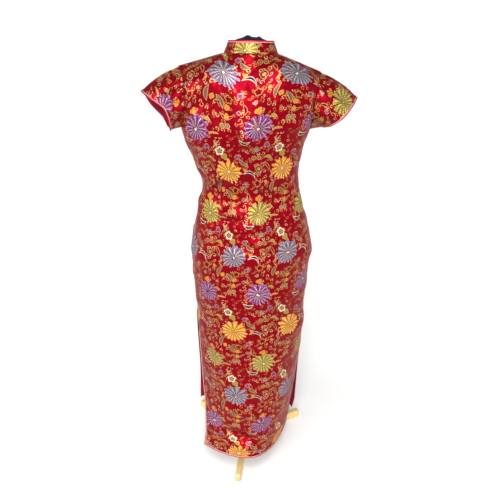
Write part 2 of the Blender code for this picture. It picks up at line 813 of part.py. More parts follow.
def clearScene():
    for old in list(bpy.data.objects):
        bpy.data.objects.remove(old)


clearScene()
for side in ("back", "front"):
    addPanel(side)
    addSkirtTrim(side)
addUnderlap()
addFlapTrim()
for side in ("left", "right"):
    addSleeve(side)
addCollar()
for frogName, place in frogs.items():
    addFrog(frogName, place)
addForm()
addStand()
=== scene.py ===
import math
from functools import partial

import bmesh
import bpy
import numpy as np
from mathutils import Matrix, Vector


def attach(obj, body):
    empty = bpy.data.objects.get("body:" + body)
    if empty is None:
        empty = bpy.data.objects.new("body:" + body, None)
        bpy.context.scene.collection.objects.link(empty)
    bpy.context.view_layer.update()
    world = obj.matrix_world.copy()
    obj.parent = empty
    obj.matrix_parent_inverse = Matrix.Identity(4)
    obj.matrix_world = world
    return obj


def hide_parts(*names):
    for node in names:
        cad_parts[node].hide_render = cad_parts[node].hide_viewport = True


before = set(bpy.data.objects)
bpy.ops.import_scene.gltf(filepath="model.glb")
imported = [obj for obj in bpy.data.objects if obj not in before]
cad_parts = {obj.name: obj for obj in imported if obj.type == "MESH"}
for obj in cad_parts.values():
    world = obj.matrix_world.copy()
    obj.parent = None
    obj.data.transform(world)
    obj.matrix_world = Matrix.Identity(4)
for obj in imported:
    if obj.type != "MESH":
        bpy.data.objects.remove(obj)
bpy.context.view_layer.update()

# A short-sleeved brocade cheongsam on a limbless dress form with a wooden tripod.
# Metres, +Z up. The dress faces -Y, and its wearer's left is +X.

# The sizes of the solids, so that the cloth lies where they do
wall = 0.0015
collarWall = 0.0018
seamGap = 0.0004
layerGap = 0.0004

# Heights on the axis
hemZ = 0.065
slitTopZ = 0.575
underarmZ = 1.112
upperSpan = 0.17  # how far the height parameter runs above the underarm

# Trims: a satin binding outside the cloth's edge and a cord along the join
bindWidth = 0.0045
bindRaise = 0.0003  # how far the binding stands above the cloth
cordRaise = 0.0009
bindInset = bindWidth + seamGap
slitEase = 0.02  # the height over which a panel narrows to make room for its slit's binding
topGap = 0.0003  # how far a panel stops short of the shoulder seam and the neckline
neckShare = 1 / 3  # the share of a panel's half width that ends at the neckline

# Side seams, where both panels meet, and how deep the body is at the back and the front
bodyTable = {
    #        height  plusX  minusX    back   front
    "slit": (0.575, 0.157, -0.173, 0.137, -0.118),
    "thigh": (0.665, 0.167, -0.177, 0.133, -0.119),
    "hip": (0.765, 0.170, -0.184, 0.128, -0.118),
    "high hip": (0.850, 0.154, -0.164, 0.115, -0.113),
    "belly": (0.905, 0.139, -0.145, 0.098, -0.106),
    "waist": (0.960, 0.131, -0.134, 0.086, -0.099),
    "ribs": (1.020, 0.149, -0.133, 0.094, -0.112),
    "bust": (1.070, 0.173, -0.139, 0.106, -0.129),
    "underarm": (1.112, 0.184, -0.157, 0.113, -0.128),
}

# Below the slits each panel hangs by itself, and its two edges leave the side of the body
backSkirt = {
    #        height  plusX  minusX  middle   plusY  minusY  plusCurl  minusCurl
    "hem": (0.065, 0.141, -0.154, 0.172, 0.118, -0.052, 0.10, 0.70),
    "low": (0.120, 0.136, -0.156, 0.160, 0.100, -0.044, 0.20, 0.74),
    "calf": (0.210, 0.137, -0.162, 0.160, 0.080, -0.032, 0.40, 0.82),
    "shin": (0.310, 0.144, -0.168, 0.157, 0.056, -0.020, 0.60, 0.90),
    "knee": (0.420, 0.150, -0.174, 0.150, 0.032, -0.010, 0.80, 0.95),
    "lap": (0.510, 0.155, -0.175, 0.142, 0.012, -0.003, 0.95, 1.00),
}
frontSkirt = {
    "hem": (0.065, 0.174, -0.170, -0.150, -0.108, -0.062, 0.30, 0.60),
    "low": (0.120, 0.171, -0.176, -0.142, -0.092, -0.056, 0.35, 0.65),
    "calf": (0.210, 0.166, -0.175, -0.134, -0.068, -0.042, 0.50, 0.75),
    "shin": (0.310, 0.163, -0.174, -0.128, -0.044, -0.026, 0.70, 0.85),
    "knee": (0.420, 0.163, -0.175, -0.123, -0.022, -0.013, 0.85, 0.95),
    "lap": (0.510, 0.162, -0.176, -0.120, -0.006, -0.004, 1.00, 1.00),
}

# Armhole seams, from the underarm to the shoulder tip, by the share of the way up
armholes = {
    #                  share      x       y      z
    ("back", "plus"): (
        (0.00, 0.184, 0.000, 1.112),
        (0.25, 0.170, 0.048, 1.150),
        (0.50, 0.165, 0.063, 1.190),
        (0.75, 0.169, 0.040, 1.235),
        (1.00, 0.184, -0.005, 1.268),
    ),
    ("back", "minus"): (
        (0.00, -0.157, 0.000, 1.112),
        (0.25, -0.155, 0.048, 1.152),
        (0.50, -0.159, 0.063, 1.192),
        (0.75, -0.167, 0.040, 1.232),
        (1.00, -0.175, -0.005, 1.259),
    ),
    ("front", "plus"): (
        (0.00, 0.184, 0.000, 1.112),
        (0.25, 0.163, -0.053, 1.140),
        (0.50, 0.153, -0.072, 1.180),
        (0.75, 0.160, -0.048, 1.232),
        (1.00, 0.184, -0.005, 1.268),
    ),
    ("front", "minus"): (
        (0.00, -0.157, 0.000, 1.112),
        (0.25, -0.149, -0.053, 1.142),
        (0.50, -0.147, -0.072, 1.180),
        (0.75, -0.154, -0.048, 1.228),
        (1.00, -0.175, -0.005, 1.259),
    ),
}

# Sleeve hems, round from the top by way of the back, the underarm and the front
sleeveHems = {
    #           turn      x       y      z
    "left": (
        (0, 0.284, -0.005, 1.204),
        (45, 0.252, 0.038, 1.190),
        (90, 0.218, 0.058, 1.170),
        (135, 0.211, 0.044, 1.138),
        (180, 0.214, 0.002, 1.105),
        (225, 0.226, -0.040, 1.105),
        (270, 0.245, -0.064, 1.128),
        (315, 0.273, -0.048, 1.166),
    ),
    "right": (
        (0, -0.274, -0.005, 1.197),
        (45, -0.257, 0.036, 1.179),
        (90, -0.231, 0.058, 1.154),
        (135, -0.206, 0.042, 1.132),
        (180, -0.196, 0.000, 1.121),
        (225, -0.204, -0.042, 1.116),
        (270, -0.232, -0.064, 1.124),
        (315, -0.262, -0.046, 1.160),
    ),
}

sleevePuff = 0.007

# Neckline and stand collar
neckX = 0.002
neckY = -0.008
neckHalfWidth = 0.068
neckBackDepth = 0.063
neckFrontDepth = 0.066
neckSideZ = 1.300
neckBackRise = 0.004
neckFrontDrop = 0.040
collarHeight = 0.0245
collarLean = 0.42  # how far the collar leans in for each unit of height
collarOpening = math.radians(3.0)  # half the gap at the centre front
collarRounding = math.radians(16)
armholeFlatness = 0.8  # how straight a section runs into the armhole, against a full round side
shoulderFullness = 0.7
shoulderTurn = 5  # how late the cloth turns over towards the shoulder seam
collarEndShare = 0.45  # the collar's height at its front ends, before the corner rounds up
collarFoot = 0.0010  # how far the collar's cloth starts above the neckline

# The flap crosses from the centre of the neck to the wearer's right underarm
flapLow = 0.24
flapBend = 1.5
underlapTuck = 0.08
underlapStep = wall + 0.0009
underlapFade = (0.010, 0.024)  # how far above the flap's edge it starts to come up, and is flush


# The rows of a named table as one array.
def table(rows):
    return np.array(list(rows.values()), float)


# A table's other columns at each value of its first one: a cubic that never overshoots.
def smoothly(rows, at):
    rows = np.array(rows, float)
    rows = rows[np.argsort(rows[:, 0])]
    knots = rows[:, 0]
    values = rows[:, 1:]
    secants = np.diff(values, axis=0) / np.diff(knots)[:, None]
    before, after = secants[:-1], secants[1:]
    together = before * after > 0
    sums = np.where(together, before + after, 1.0)
    middle = np.where(together, 2 * before * after / sums, 0.0)
    slopes = np.concatenate([secants[:1], middle, secants[-1:]])
    at = np.asarray(at, float)
    low = np.clip(np.searchsorted(knots, at) - 1, 0, len(knots) - 2)
    span = (knots[low + 1] - knots[low])[..., None]
    f = np.clip((at - knots[low])[..., None] / span, 0, 1)
    start = (1 + 2 * f) * (1 - f) ** 2 * values[low] + f * (1 - f) ** 2 * slopes[low] * span
    end = f**2 * (3 - 2 * f) * values[low + 1] - f**2 * (1 - f) * slopes[low + 1] * span
    return start + end


# Rises smoothly from 0 at the start to 1 at the end: three squares less two cubes.
def ramp(start, end, at):
    f = np.clip((at - start) / (end - start), 0, 1)
    return f * f * (3 - 2 * f)


# One table for the whole panel below the underarm: height, edges, middle, edge depths, curls.
def panelRows(side):
    body = table(bodyTable)
    middle = body[:, 3] if side == "back" else body[:, 4]
    zero = np.zeros(len(body))
    one = np.ones(len(body))
    upper = np.column_stack([body[:, 0], body[:, 1], body[:, 2], middle, zero, zero, one, one])
    return np.vstack([table(backSkirt if side == "back" else frontSkirt), upper])


rowTables = {"back": panelRows("back"), "front": panelRows("front")}


# A point of the section at this height, across being -1 at the wearer's right seam.
def lowerPoint(side, across, height):
    plusX, minusX, middle, plusY, minusY, plusCurl, minusCurl = np.moveaxis(
        smoothly(rowTables[side], height), -1, 0
    )
    plus = across > 0
    reach = np.abs(across)
    curl = np.where(plus, plusCurl, minusCurl)
    edgeY = np.where(plus, plusY, minusY)
    share = curl * np.sin(reach * math.pi / 2) + (1 - curl) * reach
    x = (plusX + minusX) / 2 + np.sign(across) * share * (plusX - minusX) / 2
    y = edgeY + (middle - edgeY) * np.cos(reach * math.pi / 2)
    return np.stack([x, y, height + 0 * x], -1)


# A point of the neckline, turn being 0 at the back and positive towards +X.
def neckPoint(turn):
    c = np.cos(turn)
    depth = np.where(c > 0, neckBackDepth, neckFrontDepth)
    x = neckX + neckHalfWidth * np.sin(turn)
    z = neckSideZ + np.where(c > 0, neckBackRise * c, -neckFrontDrop * c * c)
    return np.stack([x, neckY + depth * c, z], -1)


# Where a panel's column ends: on the neckline, or further out on the shoulder seam.
def topPoint(side, across):
    reach = np.clip(np.abs(across) / neckShare, 0, 1)
    sign = np.where(across < 0, -1.0, 1.0)
    turn = sign * reach * math.pi / 2
    neck = neckPoint(turn if side == "back" else math.pi - turn)
    out = np.clip((np.abs(across) - neckShare) / (1 - neckShare), 0, 1)[..., None]
    plusTip = np.array(armholes["back", "plus"][-1][1:])
    minusTip = np.array(armholes["back", "minus"][-1][1:])
    tip = np.where((across < 0)[..., None], minusTip, plusTip)
    return neck * (1 - out) + tip * out


# A section above the underarm, from one armhole through the middle to the other.
def upperSection(side, across, share):
    foot = lowerPoint(side, np.array(0.0), np.array(underarmZ))
    crown = topPoint(side, np.array(0.0))
    plus, minus = (smoothly(armholes[side, end], share) for end in ("plus", "minus"))
    edge = np.where((across > 0)[..., None], plus, minus)
    middleX = foot[0] + (crown[0] - foot[0]) * share
    middleY = crown[1] + (foot[1] - crown[1]) * (1 - share**2)
    middleZ = foot[2] + (crown[2] - foot[2]) * share
    reach = np.abs(across)
    curl = 1 - armholeFlatness * ramp(0, 0.35, share)
    out = curl * np.sin(reach * math.pi / 2) + (1 - curl) * reach
    x = middleX + out * (edge[..., 0] - middleX)
    y = edge[..., 1] + (middleY - edge[..., 1]) * np.cos(reach * math.pi / 2)
    z = middleZ + (edge[..., 2] - middleZ) * reach**2
    full = ramp(0.1, 0.5, reach) * (1 - reach**4)
    z = z + shoulderFullness * upperSpan * full * (np.sin(share * math.pi / 2) - share)
    return np.stack([x, y, z], -1)


# The section, drawn towards the neckline and the shoulder seam as it nears them.
def upperPoint(side, across, share):
    ones = np.ones(np.shape(across))
    pull = topPoint(side, across) - upperSection(side, across, ones)
    return upperSection(side, across, share) + pull * (share**shoulderTurn)[..., None]


# A point of the dress's outer face. Above the underarm the height runs on to its top edge.
def bodyPoint(side, across, height):
    across, height = np.broadcast_arrays(np.asarray(across, float), np.asarray(height, float))
    low = lowerPoint(side, across, np.minimum(height, underarmZ))
    share = np.clip((height - underarmZ) / upperSpan, 0, 1)
    high = upperPoint(side, across, share)
    return np.where((height <= underarmZ)[..., None], low, high)


# Vectors divided by their lengths.
def unit(vectors):
    return vectors / np.maximum(np.linalg.norm(vectors, axis=-1, keepdims=True), 1e-9)


# The way out of the surface: the cross product of small steps across it and up it.
def bodyNormal(side, across, height):
    step = 1e-3
    a0, a1 = np.maximum(across - step, -1), np.minimum(across + step, 1)
    h0, h1 = height - step, np.minimum(height + step, underarmZ + upperSpan)
    alongAcross = bodyPoint(side, a1, height) - bodyPoint(side, a0, height)
    alongHeight = bodyPoint(side, across, h1) - bodyPoint(side, across, h0)
    facing = -1.0 if side == "back" else 1.0
    return unit(facing * np.cross(alongAcross, alongHeight))


# How far a panel's cloth stops short of its slit edge, to leave room for the binding.
def edgeInset(height):
    return bindInset * ramp(slitTopZ, slitTopZ - slitEase, height)


# The parameter across at a panel's two edges at each height, less the seam gap or binding.
def acrossEnds(side, height):
    away = seamGap / 2 + edgeInset(height)
    ends = []
    for end in (-1.0, 1.0):
        edge = np.full(np.shape(height), end)
        step = 0.01
        run = bodyPoint(side, edge, height) - bodyPoint(side, edge * (1 - step), height)
        ends.append(edge * (1 - away / np.linalg.norm(run, axis=-1) * step))
    return ends


# How far up the front the flap's cloth reaches, as a share of the way to the top edge.
def flapShare(across):
    reach = np.clip(-across, 0, 1)
    return flapLow + (1 - flapLow) * (1 - reach) ** flapBend


# The normal, turned on the shoulder seam to halve the angle between the two panels.
def wallNormal(side, across, height):
    normal = bodyNormal(side, across, height)
    other = bodyNormal("front" if side == "back" else "back", across, height)
    onSeam = np.abs(across) > neckShare - 1e-6
    onSeam = onSeam & (height > underarmZ + upperSpan - 2 * topGap)
    return np.where(onSeam[..., None], unit(normal + other), normal)


# The armhole seam round from the shoulder tip by way of the back, as points.
def armholeRing(name, turns):
    back = smoothly(armholes["back", name], 1 - turns / math.pi)
    front = smoothly(armholes["front", name], turns / math.pi - 1)
    return np.where((turns <= math.pi)[:, None], back, front)


# A closed smooth curve through a table whose first column is the turn in degrees.
def closedCurve(rows, turns):
    rows = np.array(rows, float)
    turn = np.zeros_like(rows)
    turn[:, 0] = 360
    return smoothly(np.vstack([rows - turn, rows, rows + turn]), np.degrees(turns))


# A point of a sleeve's outer face, share being 0 at the armhole and 1 at the hem.
def sleevePoint(side, turns, share):
    start = armholeRing("plus" if side == "left" else "minus", turns)
    end = closedCurve(sleeveHems[side], turns)
    middle = (start.mean(0) + end.mean(0)) / 2
    out = unit((start + end) / 2 - middle) * (0.5 + 0.5 * np.cos(turns))[:, None]
    return start + (end - start) * share + out * sleevePuff * 4 * share * (1 - share)


# The level way out from the neck's axis.
def radialOf(turn):
    return np.stack([np.sin(turn), np.cos(turn), 0 * turn], -1)


# A point of the collar's outer face, from the neckline up and leaning in.
def collarPoint(turn, height):
    lean = np.array([0, 0, 1.0]) - radialOf(turn) * collarLean
    return neckPoint(turn) + np.asarray(height)[..., None] * lean


# The way out of the collar: level, and tipped up by its lean.
def collarNormal(turn):
    return unit(radialOf(turn) + np.array([0, 0, collarLean]))


# The underlap dips beneath the flap near its edge and is flush with the shoulder above it.
def underlapInward(across, share):
    beyond = (share - flapShare(across)) * upperSpan
    return underlapStep * (1 - ramp(*underlapFade, beyond))


# Meshes from grids

print("mesh makers")


# The normals of a grid: the cross product of its two directions, turned to face the given way.
def gridNormals(points, facing, loop=False):
    if loop:
        across = np.roll(points, -1, axis=1) - np.roll(points, 1, axis=1)
    else:
        across = np.gradient(points, axis=1)
    return unit(facing * np.cross(across, np.gradient(points, axis=0)))


# The numbers of the four corners of each cell of a grid.
def gridQuads(first, rowCount, columnCount, loop=False):
    wrap = columnCount if loop else columnCount - 1
    i, j = np.meshgrid(np.arange(rowCount - 1), np.arange(wrap), indexing="ij")
    k = (j + 1) % columnCount
    here, beyond = first + i * columnCount, first + (i + 1) * columnCount
    return np.stack([here + j, here + k, beyond + k, beyond + j], -1).reshape(-1, 4)


# Puts points, four-cornered faces, their cloth coordinates and material numbers into one mesh.
def addMesh(name, points, quads, cloth, materials, slots=None):
    mesh = bpy.data.meshes.new(name)
    mesh.vertices.add(len(points))
    mesh.vertices.foreach_set("co", points.astype(np.float32).ravel())
    mesh.loops.add(quads.size)
    mesh.loops.foreach_set("vertex_index", quads.astype(np.int32).ravel())
    mesh.polygons.add(len(quads))
    mesh.polygons.foreach_set("loop_start", (np.arange(len(quads)) * 4).astype(np.int32))
    mesh.polygons.foreach_set("use_smooth", np.ones(len(quads), bool))
    for material in materials:
        mesh.materials.append(material)
    if slots is not None:
        mesh.polygons.foreach_set("material_index", slots.astype(np.int32))
    layer = mesh.uv_layers.new(name="cloth")
    layer.data.foreach_set("uv", cloth[quads.ravel()].astype(np.float32).ravel())
    mesh.update(calc_edges=True)
    mesh.validate()
    piece = bpy.data.objects.new(name, mesh)
    bpy.context.scene.collection.objects.link(piece)
    return piece


# A thin wall between two grids: the outer cells, the inner cells reversed and the rims' cells.
def addWall(name, outer, inner, cloth, materials, loop=False):
    rows, columns = outer.shape[:2]
    count = rows * columns
    face = gridQuads(0, rows, columns, loop)
    back = gridQuads(count, rows, columns, loop)[:, ::-1]
    ids = np.arange(count).reshape(rows, columns)
    if loop:
        closed = np.concatenate([ids, ids[:, :1]], 1)
        runs = [closed[0], closed[-1][::-1]]
    else:
        runs = [ids[0], ids[:, -1], ids[-1][::-1], ids[::-1, 0]]
    rims = [np.stack([run[1:], run[:-1], run[:-1] + count, run[1:] + count], -1) for run in runs]
    rims = np.concatenate(rims)
    quads = np.concatenate([face, back, rims])
    a, b, c = (outer.reshape(-1, 3)[face[:, k]] for k in range(3))
    out = (outer - inner).reshape(-1, 3)[face[:, 0]]
    if np.einsum("ij,ij->i", np.cross(b - a, c - a), out).sum() < 0:
        quads = quads[:, ::-1]
    slots = np.concatenate([np.zeros(len(face)), np.ones(len(back)), np.zeros(len(rims))])
    points = np.concatenate([outer.reshape(-1, 3), inner.reshape(-1, 3)])
    cloth = np.concatenate([cloth.reshape(-1, 2)] * 2)
    return addMesh(name, points, quads, cloth, materials, slots)


# A closed tube: a profile of (away, out) pairs carried along a path, with its ends drawn shut.
def addTube(name, path, away, out, profile, material, loop=False):
    profile = np.array(profile, float)
    sections = path[:, None] + away[:, None] * profile[:, :1] + out[:, None] * profile[:, 1:]
    if not loop:
        ends = sections.mean(1, keepdims=True) + 0 * sections
        sections = np.concatenate([ends[:1], sections, ends[-1:]])
        path = np.concatenate([path[:1], path, path[-1:]])
    stations, corners = sections.shape[:2]
    steps = np.linalg.norm(np.diff(path, axis=0), axis=1)
    along = np.concatenate([[0], np.cumsum(steps)])
    rim = np.concatenate([[0], np.cumsum(np.linalg.norm(np.diff(profile, axis=0), axis=1))])
    cloth = np.stack(np.meshgrid(along, rim, indexing="ij"), -1)
    quads = gridQuads(0, stations, corners, True)
    if loop:
        last = (stations - 1) * corners
        j = np.arange(corners)
        k = (j + 1) % corners
        quads = np.concatenate([quads, np.stack([last + j, last + k, k, j], -1)])
    points = sections.reshape(-1, 3)
    a, b, c, d = (points[quads[:, corner]] for corner in range(4))
    if np.sum(a * (np.cross(b, c) + np.cross(c, d))) < 0:
        quads = quads[:, ::-1]
    piece = addMesh(name, points, quads, cloth.reshape(-1, 2), [material])
    mergeDoubles(piece)
    return piece


# Welds points that lie together, which shuts tube ends and seams.
def mergeDoubles(piece, distance=1e-6):
    work = bmesh.new()
    work.from_mesh(piece.data)
    bmesh.ops.remove_doubles(work, verts=work.verts, dist=distance)
    work.to_mesh(piece.data)
    work.free()


# A finished piece stays on the one body and stands in for a CAD node, which is hidden.
def settle(piece, node):
    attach(piece, "root")
    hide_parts(node)


# An oval profile, between two distances along and two out, squarer as the power rises.
def ovalProfile(near, far, low, high, count=12, power=2.6):
    turn = np.arange(count) * 2 * math.pi / count
    c, s = np.cos(turn), np.sin(turn)
    x = np.sign(c) * np.abs(c) ** (2 / power)
    y = np.sign(s) * np.abs(s) ** (2 / power)
    x = (near + far) / 2 + x * (far - near) / 2
    return np.stack([x, (low + high) / 2 + y * (high - low) / 2], -1)


# A few passes that draw each inner point towards the mean of its four neighbours.
def relaxed(points, passes, loop=False):
    for _ in range(passes):
        if loop:
            beside = (np.roll(points, 1, 1) + np.roll(points, -1, 1))[1:-1] / 2
            points[1:-1] += 0.5 * ((beside + (points[2:] + points[:-2]) / 2) / 2 - points[1:-1])
        else:
            inside = points[1:-1, 1:-1]
            beside = points[1:-1, 2:] + points[1:-1, :-2] + points[2:, 1:-1] + points[:-2, 1:-1]
            inside += 0.5 * (beside / 4 - inside)
    return points


# Soft lumps: a sum of sine waves in seeded random directions, from about -1 to 1.
def softNoise(x, z, size, seed, waves=10):
    random = np.random.default_rng(seed)
    total = np.zeros(np.shape(x))
    for _ in range(waves):
        turn, start, scale = random.uniform(0, [math.pi, 2 * math.pi, 1])
        reach = 2 * math.pi / (size * (0.7 + 0.8 * scale))
        total += np.sin((x * math.cos(turn) + z * math.sin(turn)) * reach + start)
    return total / math.sqrt(waves)


# How a crease varies: its reach above and below its line and its width at the ends and what its
# middle adds, all in half widths, how far the width wavers, and its height at the ends.
crease = {
    "above": 1.35,
    "below": 0.75,
    "ends": 0.75,
    "middle": 0.5,
    "waver": 0.18,
    "endHeight": 0.15,
}


# Creases: each is a bent line that fades at both ends. Its cross section is a bell that
# falls off gently above the line and steeply below it, as a slack fold sags.
def creaseHeight(points, creases):
    x, z = points[..., 0], points[..., 2]
    height = np.zeros(x.shape)
    for x0, z0, x1, z1, width, depth, bend in creases.values():
        length = math.hypot(x1 - x0, z1 - z0)
        ux, uz = (x1 - x0) / length, (z1 - z0) / length
        along = ((x - x0) * ux + (z - z0) * uz) / length
        share = np.clip(along, 0, 1)
        swell = np.sin(share * math.pi)
        beyond = np.clip(np.abs(along - 0.5) - 0.5, 0, None) * length
        off = (z - z0) * ux - (x - x0) * uz - bend / 1000 * swell
        wide = width / 1000 * (crease["ends"] + crease["middle"] * swell)
        wide = wide * (1 + crease["waver"] * np.sin(11 * share + x0 * 90))
        fade = crease["endHeight"] + (1 - crease["endHeight"]) * swell
        fade = fade * np.exp(-((beyond / wide) ** 2))
        slope = np.where(off * np.sign(ux) > 0, crease["above"], crease["below"])
        height += depth / 1000 * fade * np.exp(-((off / wide / slope) ** 2))
    return height


# Materials

print("materials")


# An sRGB hex colour as linear values.
def linear(hexColour):
    channels = [int(hexColour[i : i + 2], 16) / 255 for i in (0, 2, 4)]
    return (*[c / 12.92 if c <= 0.04045 else ((c + 0.055) / 1.055) ** 2.4 for c in channels], 1.0)


# Sets a node's inputs by number or name: a socket is linked and a plain value is set.
def setInputs(node, inputs):
    for key, value in inputs.items():
        if isinstance(value, bpy.types.NodeSocket):
            node.id_data.links.new(value, node.inputs[key])
        else:
            node.inputs[key].default_value = value


# What every node of these kinds is given: its settings and the output that is used. A Mix node's
# inputs 0, 6 and 7 are its share and its two colours.
usual = {"Mix": {"data_type": "RGBA", "out": 2}, "TexWave": {"out": 1}}


# Adds a node. A second word in its kind is its operation, its inputs come in order or in one
# dictionary, and stops are the places and colours of a colour ramp.
def addNode(tree, kind, *inputs, stops=(), interpolation="CONSTANT", **settings):
    kind, _, operation = kind.partition(" ")
    made = tree.nodes.new("ShaderNode" + kind)
    settings = {**usual.get(kind, {}), **settings}
    out = settings.pop("out", 0)
    if operation:
        settings["operation"] = operation
    for key, value in settings.items():
        setattr(made, key, value)
    for k, (place, colour) in enumerate(stops):
        elements = made.color_ramp.elements
        stop = elements[k] if k < 2 else elements.new(0.9)
        stop.position, stop.color = place, colour
    if stops:
        made.color_ramp.interpolation = interpolation
    byName = inputs and isinstance(inputs[0], dict)
    setInputs(made, inputs[0] if byName else dict(enumerate(inputs)))
    return made.outputs[out]


# A named material, its Principled BSDF with these plain values, and a way to add its nodes.
def newMaterial(name, values):
    material = bpy.data.materials.new(name)
    material.use_nodes = True
    shader = material.node_tree.nodes["Principled BSDF"]
    setInputs(shader, values)
    return material, shader, partial(addNode, material.node_tree)


# Evenly spaced stops for a colour ramp, from hex colours.
def evenStops(colours):
    return [(k / len(colours), linear(hexColour)) for k, hexColour in enumerate(colours)]


# Brocade: red satin ground, warp-faced so its gloss is long and soft, with a woven pattern of
# chrysanthemums in four colours and small lucky motifs outlined in flat gold thread.
brocade = {
    "ground": "8A0512",
    "groundDark": "700209",
    "reverse": "6E061A",
    "floats": "861226",  # weft on the reverse
    "gold": "B2965E",
    "flowerColours": ("64708F", "743486", "E49C04", "9C9224"),  # blue-grey, purple, orange, green
    "repeat": 0.163,  # across, in metres
    "rowStep": 0.1205,  # rows are half-dropped
    "firstFlower": (0.050, 1.226),
    "flowerSize": (0.0365, 0.0325),
    "lineHalf": 0.00075,
    "curlSizes": (0.8, 1.2),  # of the smallest and the largest curl, as shares of the usual size
    "curlScatter": 0.85,  # how far curls stray from an even spacing
    "curlGrowth": 0.14,  # how fast a curl widens, for each radian
    "scrollGrowth": 0.16,
    "coinHole": 0.14,
    # two sizes of curls: pitch, size as a share of it, how far out each starts, and its colours
    "curls": (
        (0.0155, 0.38, 0.50, ("B69A5C", "D0BE90", "6E0410", "CCB070", "A87238", "6E0410")),
        (0.01023, 0.34, 0.62, ("A87238", "7C0414", "7C0414", "64020A", "7C0414", "7C0414")),
    ),
    "streaks": (330, 18, 1),  # to a metre across the warp and along it
    "ties": (60.0, 0.7, 0.42, "4A040A"),  # scale, turn, strength, colour
    "ribs": (175.0, 0.12),  # scale, strength
    "gloss": {
        "IOR": 1.5,
        "Anisotropic": 0.4,
        "Specular IOR Level": 0.55,
        "Specular Tint": linear("D83070"),
    },
    "roughness": (0.34, 0.38),  # of the ground and of the woven pattern
    "metallic": (0.52, 0.45),
}

# The chrysanthemums. Lengths are shares of a flower's half size, angles are in radians.
flower = {
    "petals": 15,
    "cut": 0.36,  # how deep the petals are cut
    "droop": 0.28,  # how far the petals bend down to both sides
    "lowShorter": 0.09,
    "unevenness": (130.0, 0.45),  # of the petals' tips: patches to a metre, and how strong
    "lift": 0.10,
    "rim": (0.035, "E6DCC4"),  # half width and colour
    "shade": (0.10, 0.70, 0.55, 1.0),  # two distances, and how bright a petal is at each
    "shadeColour": "301219",
    "wedge": (0.25, 0.9, 0.10, 0.40, "4A040C"),  # two distances, its width at each, colour
    "rimMix": 0.35,  # the rim's colour in a petal's edge
    "vein": (0.955, 0.75, "DCCFA8"),  # how near a petal's middle, how strong, colour
    "veinAt": (0.52, 0.32),  # how far out a vein's middle lies, and half its length
    "ring": (9, 0.34, 0.50, 0.05, "9A8048"),  # petals, cut, size, half width, colour
    "ringTurn": 0.17,
    "heart": (0.09, "E6D8A8"),  # size, colour
}

# The small motifs of one repeat, from a flower of an even row: kind, across and up in mm, half
# size in mm, turn in degrees, fill (none leaves the ground), line colour, two shape numbers.
# rosette: lobes, how deep they are cut. leaf: bend, width. coins: how far apart, how large.
# A scroll has no shape numbers of its own.
grey, blue, plum, amber, moss, pale = "6A5848", "66739C", "743488", "D2860E", "968C30", "B08A56"
dark, wine, cream = "1E2038", "", "E6DAB8"
motifs = (
    # about an even flower
    ("rosette", 2, 43, 9, 0, moss, None, 3, 0.55),
    ("leaf", 48, 15, 14, 66, wine, None, 0.10, 0.24),
    ("scroll", 27, -27, 7.5, 20, "", None, None, None),
    ("leaf", 39, -14, 8, 120, amber, None, 0.55, 0.28),
    ("leaf", -45, 25, 13, 35, grey, None, -0.35, 0.36),
    ("leaf", -62, -1, 17, 20, dark, cream, 0.75, 0.22),
    ("rosette", -49, 5, 5.0, 40, amber, None, 3, 0.5),
    ("rosette", 75, 7, 10, 20, wine, None, 4, 0.30),
    ("rosette", 75, 7, 4, 0, pale, None, 2, 0.1),
    ("leaf", 44, -46, 18, 108, grey, None, -0.30, 0.28),
    ("rosette", 31, -57, 6.0, 30, amber, None, 4, 0.3),
    ("leaf", 9, -65, 15, 60, grey, None, 0.30, 0.32),
    ("rosette", -5, -75, 6, 0, amber, None, 5, 0.3),
    ("rosette", -10, -57, 9, 10, wine, "B9A94A", 5, 0.45),
    ("leaf", -4, -96, 18, 0, wine, None, -0.45, 0.20),
    ("rosette", -4, -93, 5.5, 90, amber, None, 3, 0.45),
    ("coins", 1, -113, 13, 0, grey, None, 0.52, 0.40),
    ("scroll", -33, -48, 7, 200, "", None, None, None),
    ("rosette", -34, -82, 5, 0, plum, None, 4, 0.5),
    # about the odd flower, half a repeat across and half a repeat down
    ("rosette", -80, -80, 9, 0, amber, None, 3, 0.55),
    ("leaf", -117, -101, 9, 20, moss, None, 0.40, 0.34),
    ("leaf", -131, -129, 13, 6, amber, None, 0.10, 0.15),
    ("leaf", -48, -158, 16, 8, dark, cream, -0.45, 0.26),
    ("leaf", -85, -182, 18, 0, wine, None, -0.45, 0.20),
    ("rosette", -85, -180, 5.5, 0, blue, None, 2, 0.45),
    ("coins", -85, -203, 13, 0, wine, None, 0.52, 0.40),
    ("rosette", -113, -168, 8, 90, plum, None, 3, 0.6),
    ("leaf", -137, -160, 13, 62, pale, None, 0.12, 0.14),
    ("leaf", -137, -160, 13, 118, pale, None, -0.12, 0.14),
    ("rosette", -149, -181, 13.5, 18, cream, None, 5, 0.42),
    ("rosette", -149, -181, 8.0, 18, wine, wine, 5, 0.42),
    ("rosette", -149, -181, 4.0, 0, blue, None, 5, 0.2),
    ("leaf", -120, -201, 12, 25, moss, None, 0.50, 0.30),
    ("rosette", -32, -200, 6.5, 0, plum, None, 4, 0.55),
    ("leaf", -50, -74, 13, 80, wine, None, 0.25, 0.28),
    ("scroll", -36, -100, 8, 100, "", None, None, None),
    ("rosette", -78, -34, 9, 15, wine, None, 5, 0.35),
    ("rosette", -38, -43, 6.5, 45, plum, None, 4, 0.5),
    ("rosette", -72, -60, 4.5, 0, blue, None, 4, 0.4),
    ("scroll", 64, -222, 7, 60, "", None, None, None),
    ("rosette", 60, -30, 3.5, 0, moss, None, 2, 0.1),
)


